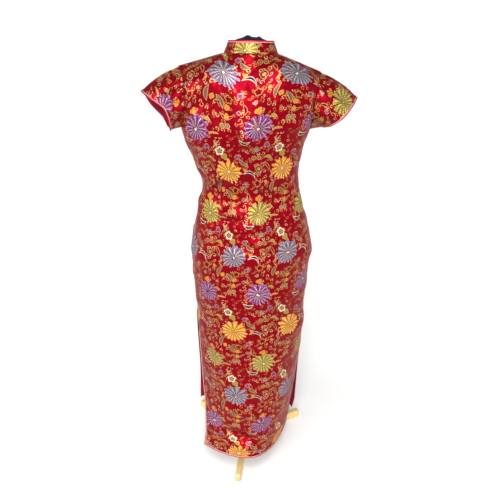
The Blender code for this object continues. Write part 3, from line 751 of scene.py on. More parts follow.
# What is woven so far is a colour and a mask of the pattern's threads, both in the cloth's own
# coordinates, so that a pattern bends with its cloth. This lays a fill and then a line over them.
def lay(add, woven, fill, fillColour, line, lineColour):
    colour, thread = woven
    if fill is not None:
        colour = add("Mix", {0: fill, 6: colour, 7: fillColour})
        thread = add("Math MAXIMUM", thread, fill)
    colour = add("Mix", {0: line, 6: colour, 7: lineColour})
    return colour, add("Math MAXIMUM", thread, line)


# The edge of a rosette: one less the cut where the cosine of half its lobes nears nought.
def lobes(add, turn, count, cut, power):
    wave = add("Math MULTIPLY", turn, count / 2)
    wave = add("Math COSINE", wave)
    wave = add("Math ABSOLUTE", wave)
    bulge = add("Math POWER", wave, power)
    return wave, add("Math MULTIPLY_ADD", bulge, cut, 1 - cut)


# Small curls fill the ground: one to each cell, turned, sized and coloured by chance. A curl is
# where the distance from its centre nears a start and a growth with the angle.
def weaveCurls(add, woven, local):
    for pitch, share, start, colours in brocade["curls"]:
        scattered = {"Vector": local, "Scale": 1 / pitch, "Randomness": brocade["curlScatter"]}
        cells = add("TexVoronoi", scattered, voronoi_dimensions="2D").node.outputs
        chance = add("SeparateColor", cells[1]).node.outputs
        at = add("VectorMath SUBTRACT", local, cells[2])
        sizes = [size * share * pitch for size in brocade["curlSizes"]]
        size = add("MapRange", chance[1], 0.0, 1.0, *sizes)
        size = add("Math DIVIDE", 1.0, size)
        at = add("VectorMath SCALE", {0: at, 3: size})
        turn = add("Math MULTIPLY", chance[0], 6.2832)  # up to a full turn
        at = add("VectorRotate", {"Vector": at, "Angle": turn}, rotation_type="Z_AXIS")
        apart = add("SeparateXYZ", at).node.outputs
        reach = add("VectorMath LENGTH", at, out=1)
        angle = add("Math ARCTAN2", apart[1], apart[0])
        edge = add("Math MULTIPLY_ADD", angle, brocade["curlGrowth"], start)
        thin = add("Math MULTIPLY", size, brocade["lineHalf"])
        line = add("Math COMPARE", reach, edge, thin)
        pick = add("ValToRGB", chance[2], stops=evenStops(colours))
        woven = lay(add, woven, None, None, line, pick)
    return woven


# A motif's inside and its line, at a point measured in half sizes. A leaf lies between two
# parabolas, coins are two rings side by side, a scroll grows with the angle, and the rest are
# rosettes.
def motifShape(add, kind, at, thin, first, second):
    x, y, _ = add("SeparateXYZ", at).node.outputs
    if kind == "leaf":
        square = add("Math MULTIPLY", x, x)
        bulge = add("Math SUBTRACT", 1.0, square)
        wide = add("Math MULTIPLY", bulge, second)
        bent = add("Math MULTIPLY_ADD", square, first, y)
        off = add("Math ABSOLUTE", bent)
        off = add("Math SUBTRACT", off, wide)
        inside = add("Math GREATER_THAN", wide, 0.0)
        line = add("Math COMPARE", off, 0.0, thin)
        return add("Math LESS_THAN", off, 0.0), add("Math MULTIPLY", line, inside)
    if kind == "coins":
        side = add("Math ABSOLUTE", x)
        side = add("Math SUBTRACT", side, first)
        reach = add("CombineXYZ", side, y, 0.0)
        reach = add("VectorMath LENGTH", reach, out=1)
        off = add("Math SUBTRACT", reach, second)
        rim = add("Math COMPARE", off, 0.0, thin * 1.3)
        hole = add("Math LESS_THAN", reach, brocade["coinHole"])
        return add("Math LESS_THAN", off, 0.0), add("Math MAXIMUM", rim, hole)
    reach = add("VectorMath LENGTH", at, out=1)
    angle = add("Math ARCTAN2", y, x)
    if kind == "scroll":
        edge = add("Math MULTIPLY_ADD", angle, brocade["scrollGrowth"], 0.5)
        return None, add("Math COMPARE", reach, edge, thin * 1.2)
    _, edge = lobes(add, angle, first, second, 0.6)
    off = add("Math SUBTRACT", reach, edge)
    return add("Math LESS_THAN", off, 0.0), add("Math COMPARE", off, 0.0, thin)


# Each motif is drawn where the cloth, wrapped to one repeat and two rows, comes to its place.
def weaveMotifs(add, woven, cloth, wrap):
    u0, v0 = brocade["firstFlower"]
    for kind, x, y, size, turn, fillHex, lineHex, first, second in motifs:
        size = size / 1000
        at = add("VectorMath SUBTRACT", cloth, (u0 + x / 1000, v0 + y / 1000, 0))
        at = add("VectorMath WRAP", at, *wrap)
        placed = {"Vector": at, "Rotation": (0, 0, math.radians(turn)), "Scale": (size, size, 1)}
        at = add("Mapping", placed, vector_type="TEXTURE")
        fill, line = motifShape(add, kind, at, brocade["lineHalf"] / size, first, second)
        fillColour = linear(fillHex or brocade["groundDark"])
        lineColour = linear(lineHex or brocade["gold"])
        woven = lay(add, woven, fill, fillColour, line, lineColour)
    return woven


# The chrysanthemums, each a large rosette: x, y, distance and angle are taken from the nearest
# flower of the half-dropped rows.
def weaveFlowers(add, woven, cloth):
    across, step = brocade["repeat"], brocade["rowStep"]
    u0, v0 = brocade["firstFlower"]
    apart = add("SeparateXYZ", cloth).node.outputs
    down = add("Math SUBTRACT", v0, apart[1])
    down = add("Math DIVIDE", down, step)
    row = add("Math ROUND", down)
    y = add("Math SUBTRACT", row, down)
    y = add("Math MULTIPLY_ADD", y, step / brocade["flowerSize"][1], flower["lift"])
    odd = add("Math FLOORED_MODULO", row, 2.0)
    x = add("Math MULTIPLY_ADD", odd, across / 2, apart[0])
    x = add("Math SUBTRACT", x, u0)
    x = add("Math WRAP", x, across / 2, -across / 2)
    x = add("Math DIVIDE", x, brocade["flowerSize"][0])
    at = add("CombineXYZ", x, y, 0.0)
    reach = add("VectorMath LENGTH", at, out=1)
    angle = add("Math ARCTAN2", y, x)
    # Petals droop to both sides, the lower ones are shorter, and their tips are uneven.
    angle = add("Math MULTIPLY_ADD", x, flower["droop"], angle)
    reach = add("Math MULTIPLY_ADD", y, -flower["lowShorter"], reach)
    scale, strength = flower["unevenness"]
    patches = {"Vector": cloth, "Scale": scale, "Detail": 0.0}
    uneven = add("TexNoise", patches, noise_dimensions="2D")
    reach = add("Math MULTIPLY_ADD", uneven, strength, reach)
    reach = add("Math SUBTRACT", reach, 0.4 * strength)
    # The rows take the four colours in turn, and each petal darkens towards the heart.
    cycle = add("Math FLOORED_MODULO", row, 4.0)
    cycle = add("Math MULTIPLY_ADD", cycle, 0.25, 0.125)
    petal = add("ValToRGB", cycle, stops=evenStops(brocade["flowerColours"]))
    wave, edge = lobes(add, angle, flower["petals"], flower["cut"], 0.5)
    off = add("Math SUBTRACT", reach, edge)
    fill = add("Math LESS_THAN", off, 0.0)
    shade = add("MapRange", reach, *flower["shade"])
    deep = add("Mix", {0: shade, 6: linear(flower["shadeColour"]), 7: petal})
    rimHalf, rimColour = flower["rim"]
    rim = add("Math COMPARE", off, 0.0, rimHalf)
    tip = add("Mix", {0: flower["rimMix"], 6: petal, 7: linear(rimColour)})
    colour, thread = lay(add, woven, fill, deep, rim, tip)
    # Dark wedges part the petals, a pale vein runs down each, and a second ring lies over them.
    *widths, wedgeColour = flower["wedge"]
    outer = add("MapRange", reach, *widths)
    join = add("Math LESS_THAN", wave, outer)
    join = add("Math MULTIPLY", join, fill)
    colour = add("Mix", {0: join, 6: colour, 7: linear(wedgeColour)})
    near, strength, veinColour = flower["vein"]
    vein = add("Math GREATER_THAN", wave, near)
    inner = add("Math COMPARE", reach, *flower["veinAt"])
    vein = add("Math MULTIPLY", vein, inner)
    vein = add("Math MULTIPLY", vein, strength)
    colour = add("Mix", {0: vein, 6: colour, 7: linear(veinColour)})
    count, cut, size, ringHalf, ringColour = flower["ring"]
    _, edge = lobes(add, add("Math ADD", angle, flower["ringTurn"]), count, cut, 0.6)
    off = add("Math DIVIDE", reach, size)
    off = add("Math SUBTRACT", off, edge)
    ring = add("Math COMPARE", off, 0.0, ringHalf)
    colour = add("Mix", {0: ring, 6: colour, 7: linear(ringColour)})
    size, heartColour = flower["heart"]
    heart = add("Math LESS_THAN", reach, size)
    return add("Mix", {0: heart, 6: colour, 7: linear(heartColour)}), thread


# The brocade's face: a streaked satin ground, and over it the curls, motifs and flowers.
def makeBrocade():
    material, shader, add = newMaterial("brocade, woven silk satin", brocade["gloss"])
    cloth = add("UVMap", uv_map="cloth")
    # Ground: warp threads give long faint streaks, 3 mm wide as finer ones can't be seen.
    streakAt = add("Mapping", {"Vector": cloth, "Scale": brocade["streaks"]})
    streaks = {"Vector": streakAt, "Scale": 1.0, "Detail": 2.0}
    streak = add("TexNoise", streaks, noise_dimensions="2D")
    colour = add("Mix", {0: streak, 6: linear(brocade["groundDark"]), 7: linear(brocade["ground"])})
    woven = colour, add("Math ADD", 0.0, 0.0)
    half, step = brocade["repeat"] / 2, brocade["rowStep"]
    wrap = (half, step, 1), (-half, -step, -1)
    woven = weaveCurls(add, woven, add("VectorMath WRAP", cloth, *wrap))
    woven = weaveMotifs(add, woven, cloth, wrap)
    colour, thread = weaveFlowers(add, woven, cloth)
    # Weft floats of the pattern: darker ties across the threads every 5 mm.
    scale, turn, strength, tieColour = brocade["ties"]
    at = add("Mapping", {"Vector": cloth, "Rotation": (0, 0, turn)})
    ties = add("TexWave", {"Vector": at, "Scale": scale, "Distortion": 2.0}, bands_direction="X")
    ties = add("Math MULTIPLY", ties, thread)
    ties = add("Math MULTIPLY", ties, strength)
    colour = add("Mix", {0: ties, 6: colour, 7: linear(tieColour)})
    rough = add("MapRange", thread, 0.0, 1.0, *brocade["roughness"])
    metal = add("MapRange", thread, 0.0, 1.0, *brocade["metallic"])
    # Weft ribs 1.8 mm apart stand for the real ones of 0.2 mm, which are too fine to show.
    scale, strength = brocade["ribs"]
    ribs = {"Vector": cloth, "Scale": scale, "Distortion": 0.6}
    rib = add("TexWave", ribs, bands_direction="Y")
    bump = add("Bump", {"Strength": strength, "Distance": 0.0003, "Height": rib})
    setInputs(shader, {"Base Color": colour, "Roughness": rough, "Metallic": metal, "Normal": bump})
    return material


# The brocade's reverse: the dull back of the weave, dark red with loose weft floats across it.
def makeReverse():
    gloss = {"Roughness": 0.62, "Specular IOR Level": 0.2}
    material, shader, add = newMaterial("brocade, reverse side", gloss)
    cloth = add("UVMap", uv_map="cloth")
    at = add("Mapping", {"Vector": cloth, "Scale": (60, 420, 1)})
    floats = add("TexNoise", {"Vector": at, "Scale": 1.0, "Detail": 3.0}, noise_dimensions="2D")
    lift = add("MapRange", floats, 0.52, 0.72, 0.0, 1.0)
    colour = add("Mix", {0: lift, 6: linear(brocade["reverse"]), 7: linear(brocade["floats"])})
    bump = add("Bump", {"Strength": 0.2, "Distance": 0.0003, "Height": floats})
    setInputs(shader, {"Base Color": colour, "Normal": bump})
    return material


bandSpacing = 0.314  # between a wave texture's bands at scale 1


# Plain satin of the bindings, cut on the bias: smooth, glossy, faint slanting threads.
def makeSatin(name, hexColour, hexDark, roughness, turn, pitch, strength):
    gloss = {"Roughness": roughness, "Anisotropic": 0.3, "Metallic": 0.5}
    gloss.update({"Specular IOR Level": 0.12, "Specular Tint": linear(hexColour)})
    material, shader, add = newMaterial(name, gloss)
    cloth = add("UVMap", uv_map="cloth")
    at = add("Mapping", {"Vector": cloth, "Rotation": (0, 0, math.radians(turn))})
    ribs = {"Vector": at, "Scale": bandSpacing / pitch, "Distortion": 0.3}
    rib = add("TexWave", ribs, bands_direction="X")
    lumps = add("TexNoise", {"Vector": cloth, "Scale": 90.0, "Detail": 2.0}, noise_dimensions="2D")
    colour = add("Mix", {0: lumps, 6: linear(hexDark), 7: linear(hexColour)})
    bump = add("Bump", {"Strength": strength, "Distance": 0.0003, "Height": rib})
    setInputs(shader, {"Base Color": colour, "Normal": bump})
    return material


# Navy knitted jersey stretched over the form: dull, with rows of loops drawn 2.4 mm apart, as
# the real ones of 1 mm are too fine to show.
def makeJersey():
    gloss = {"Roughness": 0.9, "Specular IOR Level": 0.2, "Sheen Weight": 0.1}
    gloss["Sheen Tint"] = linear("3A4468")
    material, shader, add = newMaterial("cotton jersey, navy", gloss)
    spot = add("TexCoord", out=3)
    loops = {"Vector": spot, "Scale": 131.0, "Distortion": 1.2, "Detail": 1.0}
    rows = add("TexWave", loops, bands_direction="Z")
    fuzz = add("TexNoise", {"Vector": spot, "Scale": 240.0, "Detail": 3.0})
    mixed = add("Math MULTIPLY", rows, fuzz)
    colour = add("Mix", {0: mixed, 6: linear("060812"), 7: linear("141A2E")})
    bump = add("Bump", {"Strength": 0.35, "Distance": 0.0005, "Height": mixed})
    setInputs(shader, {"Base Color": colour, "Normal": bump})
    return material


# Clear-varnished pine: pale yellow, with darker late-wood lines about 6 mm apart along each board.
def makePine(name, direction, turn):
    gloss = {"Roughness": 0.42, "Coat Weight": 0.15, "Coat Roughness": 0.3}
    material, shader, add = newMaterial(name, gloss)
    spot = add("TexCoord", out=3)
    turned = {"Vector": spot, "Rotation": (0, 0, -math.radians(turn)), "Scale": direction}
    at = add("Mapping", turned)
    wood = {"Vector": at, "Scale": 9.0, "Distortion": 4.0, "Detail": 2.0}
    rings = add("TexWave", wood, bands_direction="Y")
    pores = add("TexNoise", {"Vector": at, "Scale": 60.0, "Detail": 4.0})
    grain = add("Math MULTIPLY_ADD", rings, 0.6, pores)
    colour = add("Mix", {0: grain, 6: linear("B4904F"), 7: linear("D2B578")})
    bump = add("Bump", {"Strength": 0.1, "Distance": 0.0004, "Height": pores})
    setInputs(shader, {"Base Color": colour, "Normal": bump})
    return material


# Satins: their two colours, roughness, the slant of the threads in degrees, how far apart they
# are in metres and how strongly they show
satins = {
    "satin, crimson": ("C2143C", "A00A2C", 0.36, 45, 0.0018, 0.12),
    "satin cord, pale pink": ("F0C4BC", "DCA49C", 0.45, 32, 0.0022, 0.5),
    "satin cord, crimson": ("C2143C", "A00A2C", 0.36, 32, 0.0028, 0.4),
}
brocadeFaces = [makeBrocade(), makeReverse()]
bindingSatin, pipingCord, frogSatin = (makeSatin(name, *look) for name, look in satins.items())
jersey = makeJersey()


# The brocade's panels

print("panels")

# How the pattern's grain runs over the back, by the height along the middle: how far it drifts to
# +X, how far it is lifted, how it slopes across and how far it is stretched round the figure.
grain = {
    #          up    drift    lift   slope  stretch
    "hem": (0.02, -0.022, 0.000, -0.05, 1.05),
    "low": (0.13, -0.008, -0.005, -0.09, 1.04),
    "calf": (0.26, -0.009, 0.000, 0.04, 1.10),
    "shin": (0.39, -0.006, 0.007, -0.05, 0.98),
    "knee": (0.49, -0.005, -0.005, -0.01, 1.08),
    "thigh": (0.63, 0.005, 0.003, -0.09, 0.94),
    "hip": (0.745, 0.001, -0.001, -0.058, 0.94),
    "waist": (0.86, 0.005, 0.000, -0.068, 0.87),
    "ribs": (0.985, 0.001, 0.000, -0.036, 0.90),
    "blades": (1.10, 0.0013, 0.000, -0.08, 1.00),
    "yoke": (1.225, 0.009, 0.000, -0.02, 1.17),
}

# Creases: x, z of both ends, half width in mm, height in mm (a trough is negative), bend in mm
backCreases = {
    "waist fold": (0.116, 0.957, 0.066, 1.018, 6, 12, 2),
    "under the fold": (0.098, 0.950, 0.056, 0.996, 7, -4.8, 2),
    "waist roll": (0.096, 0.902, 0.008, 0.907, 8.5, 9.2, 1.5),
    "below the roll": (0.090, 0.884, 0.002, 0.887, 8.5, -4.8, 1),
    "left waist side": (0.126, 0.948, 0.149, 0.867, 12.5, 4.4, 0),
    "right waist bulge": (-0.001, 0.989, -0.081, 0.971, 15.5, 6.8, 1),
    "right waist hollow": (-0.007, 0.957, -0.088, 0.936, 11, -3.6, 1),
    "right waist pinch": (-0.050, 0.948, -0.106, 0.926, 5.5, 4.4, 1),
    "right waist pinch low": (-0.040, 0.926, -0.096, 0.897, 6, 4.0, 1),
    "right hip side": (-0.099, 0.916, -0.136, 0.855, 14, 5.2, 0),
    "seat roll": (0.008, 0.884, -0.041, 0.864, 8.5, 6, 0),
    "seat hollow": (0.008, 0.902, -0.035, 0.887, 7, -3.2, 0),
    "seat crescent": (0.004, 0.832, -0.051, 0.823, 7, 4.8, -2),
    "seat crescent left": (0.057, 0.835, 0.014, 0.826, 7, 3.6, 0),
    "thigh dimple": (0.014, 0.626, -0.019, 0.634, 7, 4.4, 0),
    "blade ridge": (0.031, 1.142, -0.006, 1.078, 11, 8, 0),
    "blade hollow": (0.047, 1.144, 0.036, 1.084, 11, -3.6, 0),
    "nape drag left": (0.088, 1.276, 0.037, 1.239, 14, 4, 0),
    "nape drag right": (-0.083, 1.277, -0.026, 1.236, 14, 4, 0),
    "armpit drag": (-0.084, 1.148, -0.150, 1.112, 7, 5.2, 0),
    "armpit drag low": (-0.083, 1.131, -0.140, 1.094, 7, -3.6, 0),
    "armpit pull left": (0.158, 1.172, 0.110, 1.144, 10, 4, 0),
    "hem trough": (0.079, 0.161, -0.053, 0.120, 12.5, -11, -3),
    "hem kick": (0.069, 0.114, -0.054, 0.094, 12.5, 8, 0),
    "calf fold": (0.120, 0.560, 0.118, 0.245, 14, -3.6, 2),
    "blade left": (0.115, 1.076, 0.089, 1.154, 14, 3.6, 0),
}
frontCreases = {
    "waist fold right": (-0.110, 0.958, -0.050, 1.000, 7.5, 5.8, 1),
    "waist fold left": (0.108, 0.955, 0.056, 0.992, 9, 5.2, -1),
    "waist roll": (-0.062, 0.915, 0.050, 0.905, 9, 4.4, 1),
    "waist hollow": (-0.050, 0.938, 0.060, 0.930, 9, -3.2, 1),
    "lap roll": (-0.080, 0.845, 0.020, 0.830, 10.5, 3.8, -2),
    "bust drag left": (0.128, 1.100, 0.085, 1.060, 10.5, 3.6, 0),
    "bust drag right": (-0.122, 1.094, -0.080, 1.056, 10.5, 3.2, 0),
    "under bust": (-0.060, 1.028, 0.066, 1.022, 12, -2.8, 1),
    "thigh fold": (-0.090, 0.640, -0.112, 0.300, 15, -3.2, 2),
    "knee fold": (0.070, 0.560, 0.096, 0.220, 16.5, 3.6, 2),
    "hem trough": (-0.060, 0.130, 0.080, 0.105, 13.5, -4.8, 2),
}
backDarts = (
    (0.081, 1.090, 0.083, 0.963, 0.092, 0.850),
    (-0.067, 1.090, -0.070, 0.966, -0.082, 0.850),
)
frontDarts = (
    (0.078, 1.045, 0.074, 0.962, 0.082, 0.870),
    (-0.072, 1.045, -0.070, 0.962, -0.080, 0.870),
)

panel = {
    "columns": 150,
    "skirtRows": 118,
    "bodyRows": 112,
    "upperRows": 66,
    "thick": 0.0007,
    "relax": 24,  # passes that even out the solid's surface
    # soft unevenness: height, size, how far the whole is raised, and a number for its seed
    "lumps": ((0.0026, 0.100, 0.5, 0), (0.0011, 0.050, 0, 1), (0.0004, 0.020, 0, 2)),
    "seeds": {"back": 3, "front": 7},
    "lumpStretch": 0.7,  # lumps are this much longer across than up
    "calm": (1.03, 1.10, 0.9),  # the front lies this much smoother above these heights
    "halfRound": 0.23,  # about half a panel's width
    "closing": (-0.01, 0.02),  # below and above the slit's top, where the seam closes
    "seamFlat": 0.018,  # how far from a sewn seam the creases reach their height
    "pucker": (0.00045, 0.021, 0.014),  # beside that seam: height, spacing, reach
    "seamSink": (0.0005, 0.003),  # depth, reach
    "deepest": 0.0032,  # the form lies just below this
    "shoulders": (1.23, 1.19),  # between these heights it comes up close beneath the cloth
    "formGap": 0.0002,  # how near the cloth may sink to it there
    "formFoot": (0.64, 0.60),  # and here it ends
    "freeDepth": 0.02,  # how much deeper a fold may go below that
    "frontDrop": 0.035,  # how far the front's pattern lies below the back's
}

dart = {
    "sink": (0.0011, 0.0026),  # its seam's depth and half width
    "pucker": (0.0005, 0.017, 0.010),  # height, spacing, reach
    "ends": (0.004, 0.02),  # it starts this far beyond its ends and is whole this far within
}


# The dart: a stitched line through three points, sunk, with short puckers beside it.
def dartHeight(points, darts):
    x, z = points[..., 0], points[..., 2]
    height = np.zeros(x.shape)
    depth, seamHalf = dart["sink"]
    high, spacing, reach = dart["pucker"]
    beyond, within = dart["ends"]
    for x0, z0, x1, z1, x2, z2 in darts:
        off = np.abs(x - np.interp(z, [z2, z1, z0], [x2, x1, x0]))
        fade = ramp(z2 - beyond, z2 + within, z) * ramp(z0 + beyond, z0 - within, z)
        height -= depth * np.exp(-((off / seamHalf) ** 2)) * fade
        wave = np.sin(z * 2 * math.pi / spacing + x0 * 50)
        height += high * wave * np.exp(-((off / reach) ** 2)) * fade
    return height


# The cloth's own coordinates: the length along each row from the middle, and the length up the
# middle, less the grain's drift, lift, slope and stretch.
def clothCoordinates(points, middle, withGrain):
    steps = np.linalg.norm(np.diff(points, axis=1), axis=2)
    along = np.concatenate([np.zeros((len(points), 1)), np.cumsum(steps, 1)], 1)
    along = along - along[:, middle : middle + 1]
    rise = np.linalg.norm(np.diff(points[:, middle], axis=0), axis=1)
    up = (np.concatenate([[0], np.cumsum(rise)]) + bindInset)[:, None] + 0 * along
    if not withGrain:
        return np.stack([along, up - panel["frontDrop"]], -1)
    drift, lift, slope, stretch = np.moveaxis(smoothly(table(grain), up[:, 0]), -1, 0)[..., None]
    return np.stack([(along - drift) / stretch, up - lift - slope * along], -1)


# A panel's outer face: the solid's surface with its creases, darts, lumps and puckered seams.
def panelFace(side):
    skirtTop = slitTopZ - slitEase
    skirt = np.linspace(hemZ + bindInset, skirtTop, panel["skirtRows"] + 1)[:-1]
    body = np.linspace(skirtTop, underarmZ, panel["bodyRows"] + 1)[:-1]
    upper = underarmZ + (upperSpan - topGap) * np.linspace(0, 1, panel["upperRows"])
    heights = np.concatenate([skirt, body, upper])
    across = np.linspace(-1, 1, panel["columns"] + 1)
    heights = np.repeat(heights[:, None], len(across), 1)
    if side == "front":
        share = flapShare(across)[None]
        heights = np.where(heights > underarmZ, underarmZ + (heights - underarmZ) * share, heights)
    right, left = acrossEnds(side, heights)
    spread = np.broadcast_to(across, heights.shape)
    spread = np.where(spread < 0, -spread * right, spread * left)
    flat = relaxed(bodyPoint(side, spread, heights), panel["relax"])
    normal = gridNormals(flat, -1.0 if side == "back" else 1.0)
    x, z = flat[..., 0], flat[..., 2]
    creases, darts = (backCreases, backDarts) if side == "back" else (frontCreases, frontDarts)
    height = creaseHeight(flat, creases) + dartHeight(flat, darts)
    # The front lies smoother from the flap up, where the frogs and the underlap hold it.
    low, high, share = panel["calm"]
    smooth = 1 - share * ramp(low, high, z) if side == "front" else 1.0
    for high, size, raised, number in panel["lumps"]:
        noise = softNoise(x * panel["lumpStretch"], z, size, panel["seeds"][side] + number)
        height += high * smooth * (raised + noise)
    # Closed side seams are sunk and puckered. The slit edges and the hem lie free and flat.
    fromSeam = (1 - np.abs(spread)) * panel["halfRound"]
    below, above = panel["closing"]
    sewn = ramp(slitTopZ + below, slitTopZ + above, z)
    height *= 1 - sewn * (1 - ramp(0.001, panel["seamFlat"], fromSeam))
    high, spacing, reach = panel["pucker"]
    wave = np.sin(z * 2 * math.pi / spacing + 1.5 * np.sin(z * 40))
    height += high * wave * np.exp(-((fromSeam / reach) ** 2)) * sewn
    depth, reach = panel["seamSink"]
    height -= depth * np.exp(-((fromSeam / reach) ** 2)) * sewn
    rows = np.arange(len(flat))[:, None]
    calm = ramp(0, 3, rows) * ramp(len(flat) - 1, len(flat) - 5, rows)
    columns = np.arange(flat.shape[1])[None]
    edge = ramp(0, 3, columns) * ramp(flat.shape[1] - 1, flat.shape[1] - 4, columns)
    height = height * calm * (sewn + (1 - sewn) * edge)
    # Nothing sinks into the form. Below its foot the cloth is free to.
    deepest = panel["deepest"] * ramp(*panel["shoulders"], z) + panel["formGap"]
    height = np.maximum(height, -deepest - panel["freeDepth"] * ramp(*panel["formFoot"], z))
    return flat + normal * height[..., None], normal


# A panel: its outer face, and the same face drawn in by the cloth's thickness.
def addPanel(side):
    outer, normal = panelFace(side)
    middle = panel["columns"] // 2
    cloth = clothCoordinates(outer, middle, side == "back")
    inner = outer - normal * panel["thick"]
    piece = addWall(f"{side}_cloth", outer, inner, cloth, brocadeFaces)
    settle(piece, f"{side}_panel")
    return piece, outer, normal


# A satin binding folded round an edge and a pink cord along its inner side. The path is the
# cloth's own edge, so the trim follows its folds.
trim = {
    "overEdge": 0.0004,  # how far the binding reaches over the cloth
    "under": 0.0001,  # and below it
    "bindSwell": 0.0003,
    "bindCorners": 12,
    "bindSquareness": 3.2,
    "cordCorners": 10,
    "cordHalf": 0.0008,
}


# The binding and the cord: two oval profiles carried along the edge.
def addTrim(name, edge, away, out, thick, loop=False):
    low, high = -thick - trim["under"], bindRaise + trim["bindSwell"]
    corners, power = trim["bindCorners"], trim["bindSquareness"]
    band = ovalProfile(-trim["overEdge"], bindInset, low, high, corners, power)
    half = trim["cordHalf"]
    ring = ovalProfile(-half, half, bindRaise, bindRaise + 2 * half, trim["cordCorners"], 2)
    pieces = []
    for kind, profile, material in (("binding", band, bindingSatin), ("piping", ring, pipingCord)):
        piece = addTube(f"{kind}_{name}_cloth", edge, away, out, profile, material, loop)
        settle(piece, f"{kind}_{name}")
        pieces.append(piece)
    return pieces


# The skirt's trim runs down one slit, round the hem and up the other slit.
def addSkirtTrim(side, outer, normal):
    rows = panel["skirtRows"] + 1
    first = (outer[rows - 1 :: -1, 0], normal[rows - 1 :: -1, 0])
    runs = [first, (outer[0], normal[0]), (outer[:rows, -1], normal[:rows, -1])]
    way = 1 if side == "front" else -1
    pieces = []
    for edge, out in runs:
        away = unit(np.cross(unit(np.gradient(edge, axis=0)), out)) * way
        pieces.append([edge.copy(), away, out.copy()])
    for first, second in ((0, 1), (1, 2)):
        pieces[first][1][-1] += pieces[second][1][0]
        pieces[second] = [values[1:] for values in pieces[second]]
    edge, away, out = (np.concatenate(values) for values in zip(*pieces))
    return addTrim(f"{side}_skirt", edge, away, out, panel["thick"])


backCloth, backFace, backNormal = addPanel("back")
backTrim = addSkirtTrim("back", backFace, backNormal)
frontCloth, frontFace, frontNormal = addPanel("front")
frontTrim = addSkirtTrim("front", frontFace, frontNormal)


# The flap's trim follows the front panel's top edge on the wearer's right.
def addFlapTrim():
    shown = slice(3, panel["columns"] // 2 - 3)
    edge, out = frontFace[-1, shown], frontNormal[-1, shown]
    away = unit(np.cross(out, np.gradient(edge, axis=0)))
    return addTrim("flap", edge, away, out, panel["thick"])


flapTrim = addFlapTrim()


# end: how far the underlap runs past the middle. Lumps: height, size, seed.
underlap = {
    "end": 0.14,
    "columns": 90,
    "rows": 70,
    "lumps": (0.0003, 0.05, 21),
    "patternDrop": 0.021,
    "patternStretch": 1.1,  # across
}


# The underlap lies beneath the flap and comes up flush with the shoulder above it.
def addUnderlap():
    across = np.linspace(-1, underlap["end"], underlap["columns"])
    low = np.clip(flapShare(across) - underlapTuck, 0, 1)
    rise = np.linspace(0, 1, underlap["rows"])[:, None]
    share = low + (1 - topGap / upperSpan - low) * rise
    heights = underarmZ + share * upperSpan
    right, _ = acrossEnds("front", heights)
    spread = np.where(across < 0, -across * right, across + 0 * right)
    flat = bodyPoint("front", spread, heights)
    normal = wallNormal("front", spread, heights)
    inward = underlapInward(spread, share)
    x, z = flat[..., 0], flat[..., 2]
    high, size, seed = underlap["lumps"]
    lumps = high * softNoise(x, z, size, seed) * np.sin(np.pi * rise) ** 0.5
    outer = flat + normal * (lumps - inward)[..., None]
    cloth = np.stack([x * underlap["patternStretch"], z - underlap["patternDrop"]], -1)
    inner = outer - normal * panel["thick"]
    piece = addWall("underlap_cloth", outer, inner, cloth, brocadeFaces)
    settle(piece, "underlap")
    return piece


underlapCloth = addUnderlap()

print("sleeves")

# Sleeves: creases run from the armhole to the hem, by the turn round the sleeve in degrees,
# half width in degrees, height in mm and where along the sleeve it is highest
sleeve = {
    "gap": 0.0001,  # between the sleeve and its armhole
    "around": 132,
    "along": 44,
    "thick": 0.0007,
    "relax": 10,
    "gathers": (0.0006, 26, 0.010),  # at the cap: height, how many all round, reach
    "seamSink": (0.0002, 0.003),
    "lumps": (0.0004, 0.04),
    "seeds": {"left": 31, "right": 37},
    "hemFlat": 0.06,  # the share of its length over which it flattens to the hem
    "radius": 0.062,  # of the upper arm, for the pattern
    "folds": {
        "left": (
            (66, 10, 6.4, 0.35),
            (86, 7, -3.2, 0.40),
            (34, 11, 3.4, 0.60),
            (108, 9, 3.8, 0.30),
            (250, 12, 4.0, 0.40),
            (305, 12, -2.4, 0.50),
        ),
        "right": (
            (60, 9, 4.8, 0.40),
            (80, 8, -3.0, 0.35),
            (26, 11, 3.8, 0.50),
            (106, 9, 3.8, 0.30),
            (255, 12, 4.2, 0.40),
            (300, 12, -2.4, 0.50),
        ),
    },
    "flowerAt": {"left": (0.090, 0.062), "right": (0.055, 0.072)},  # where a flower's heart lies
    "flowerRow": {"left": 1, "right": 3},
}


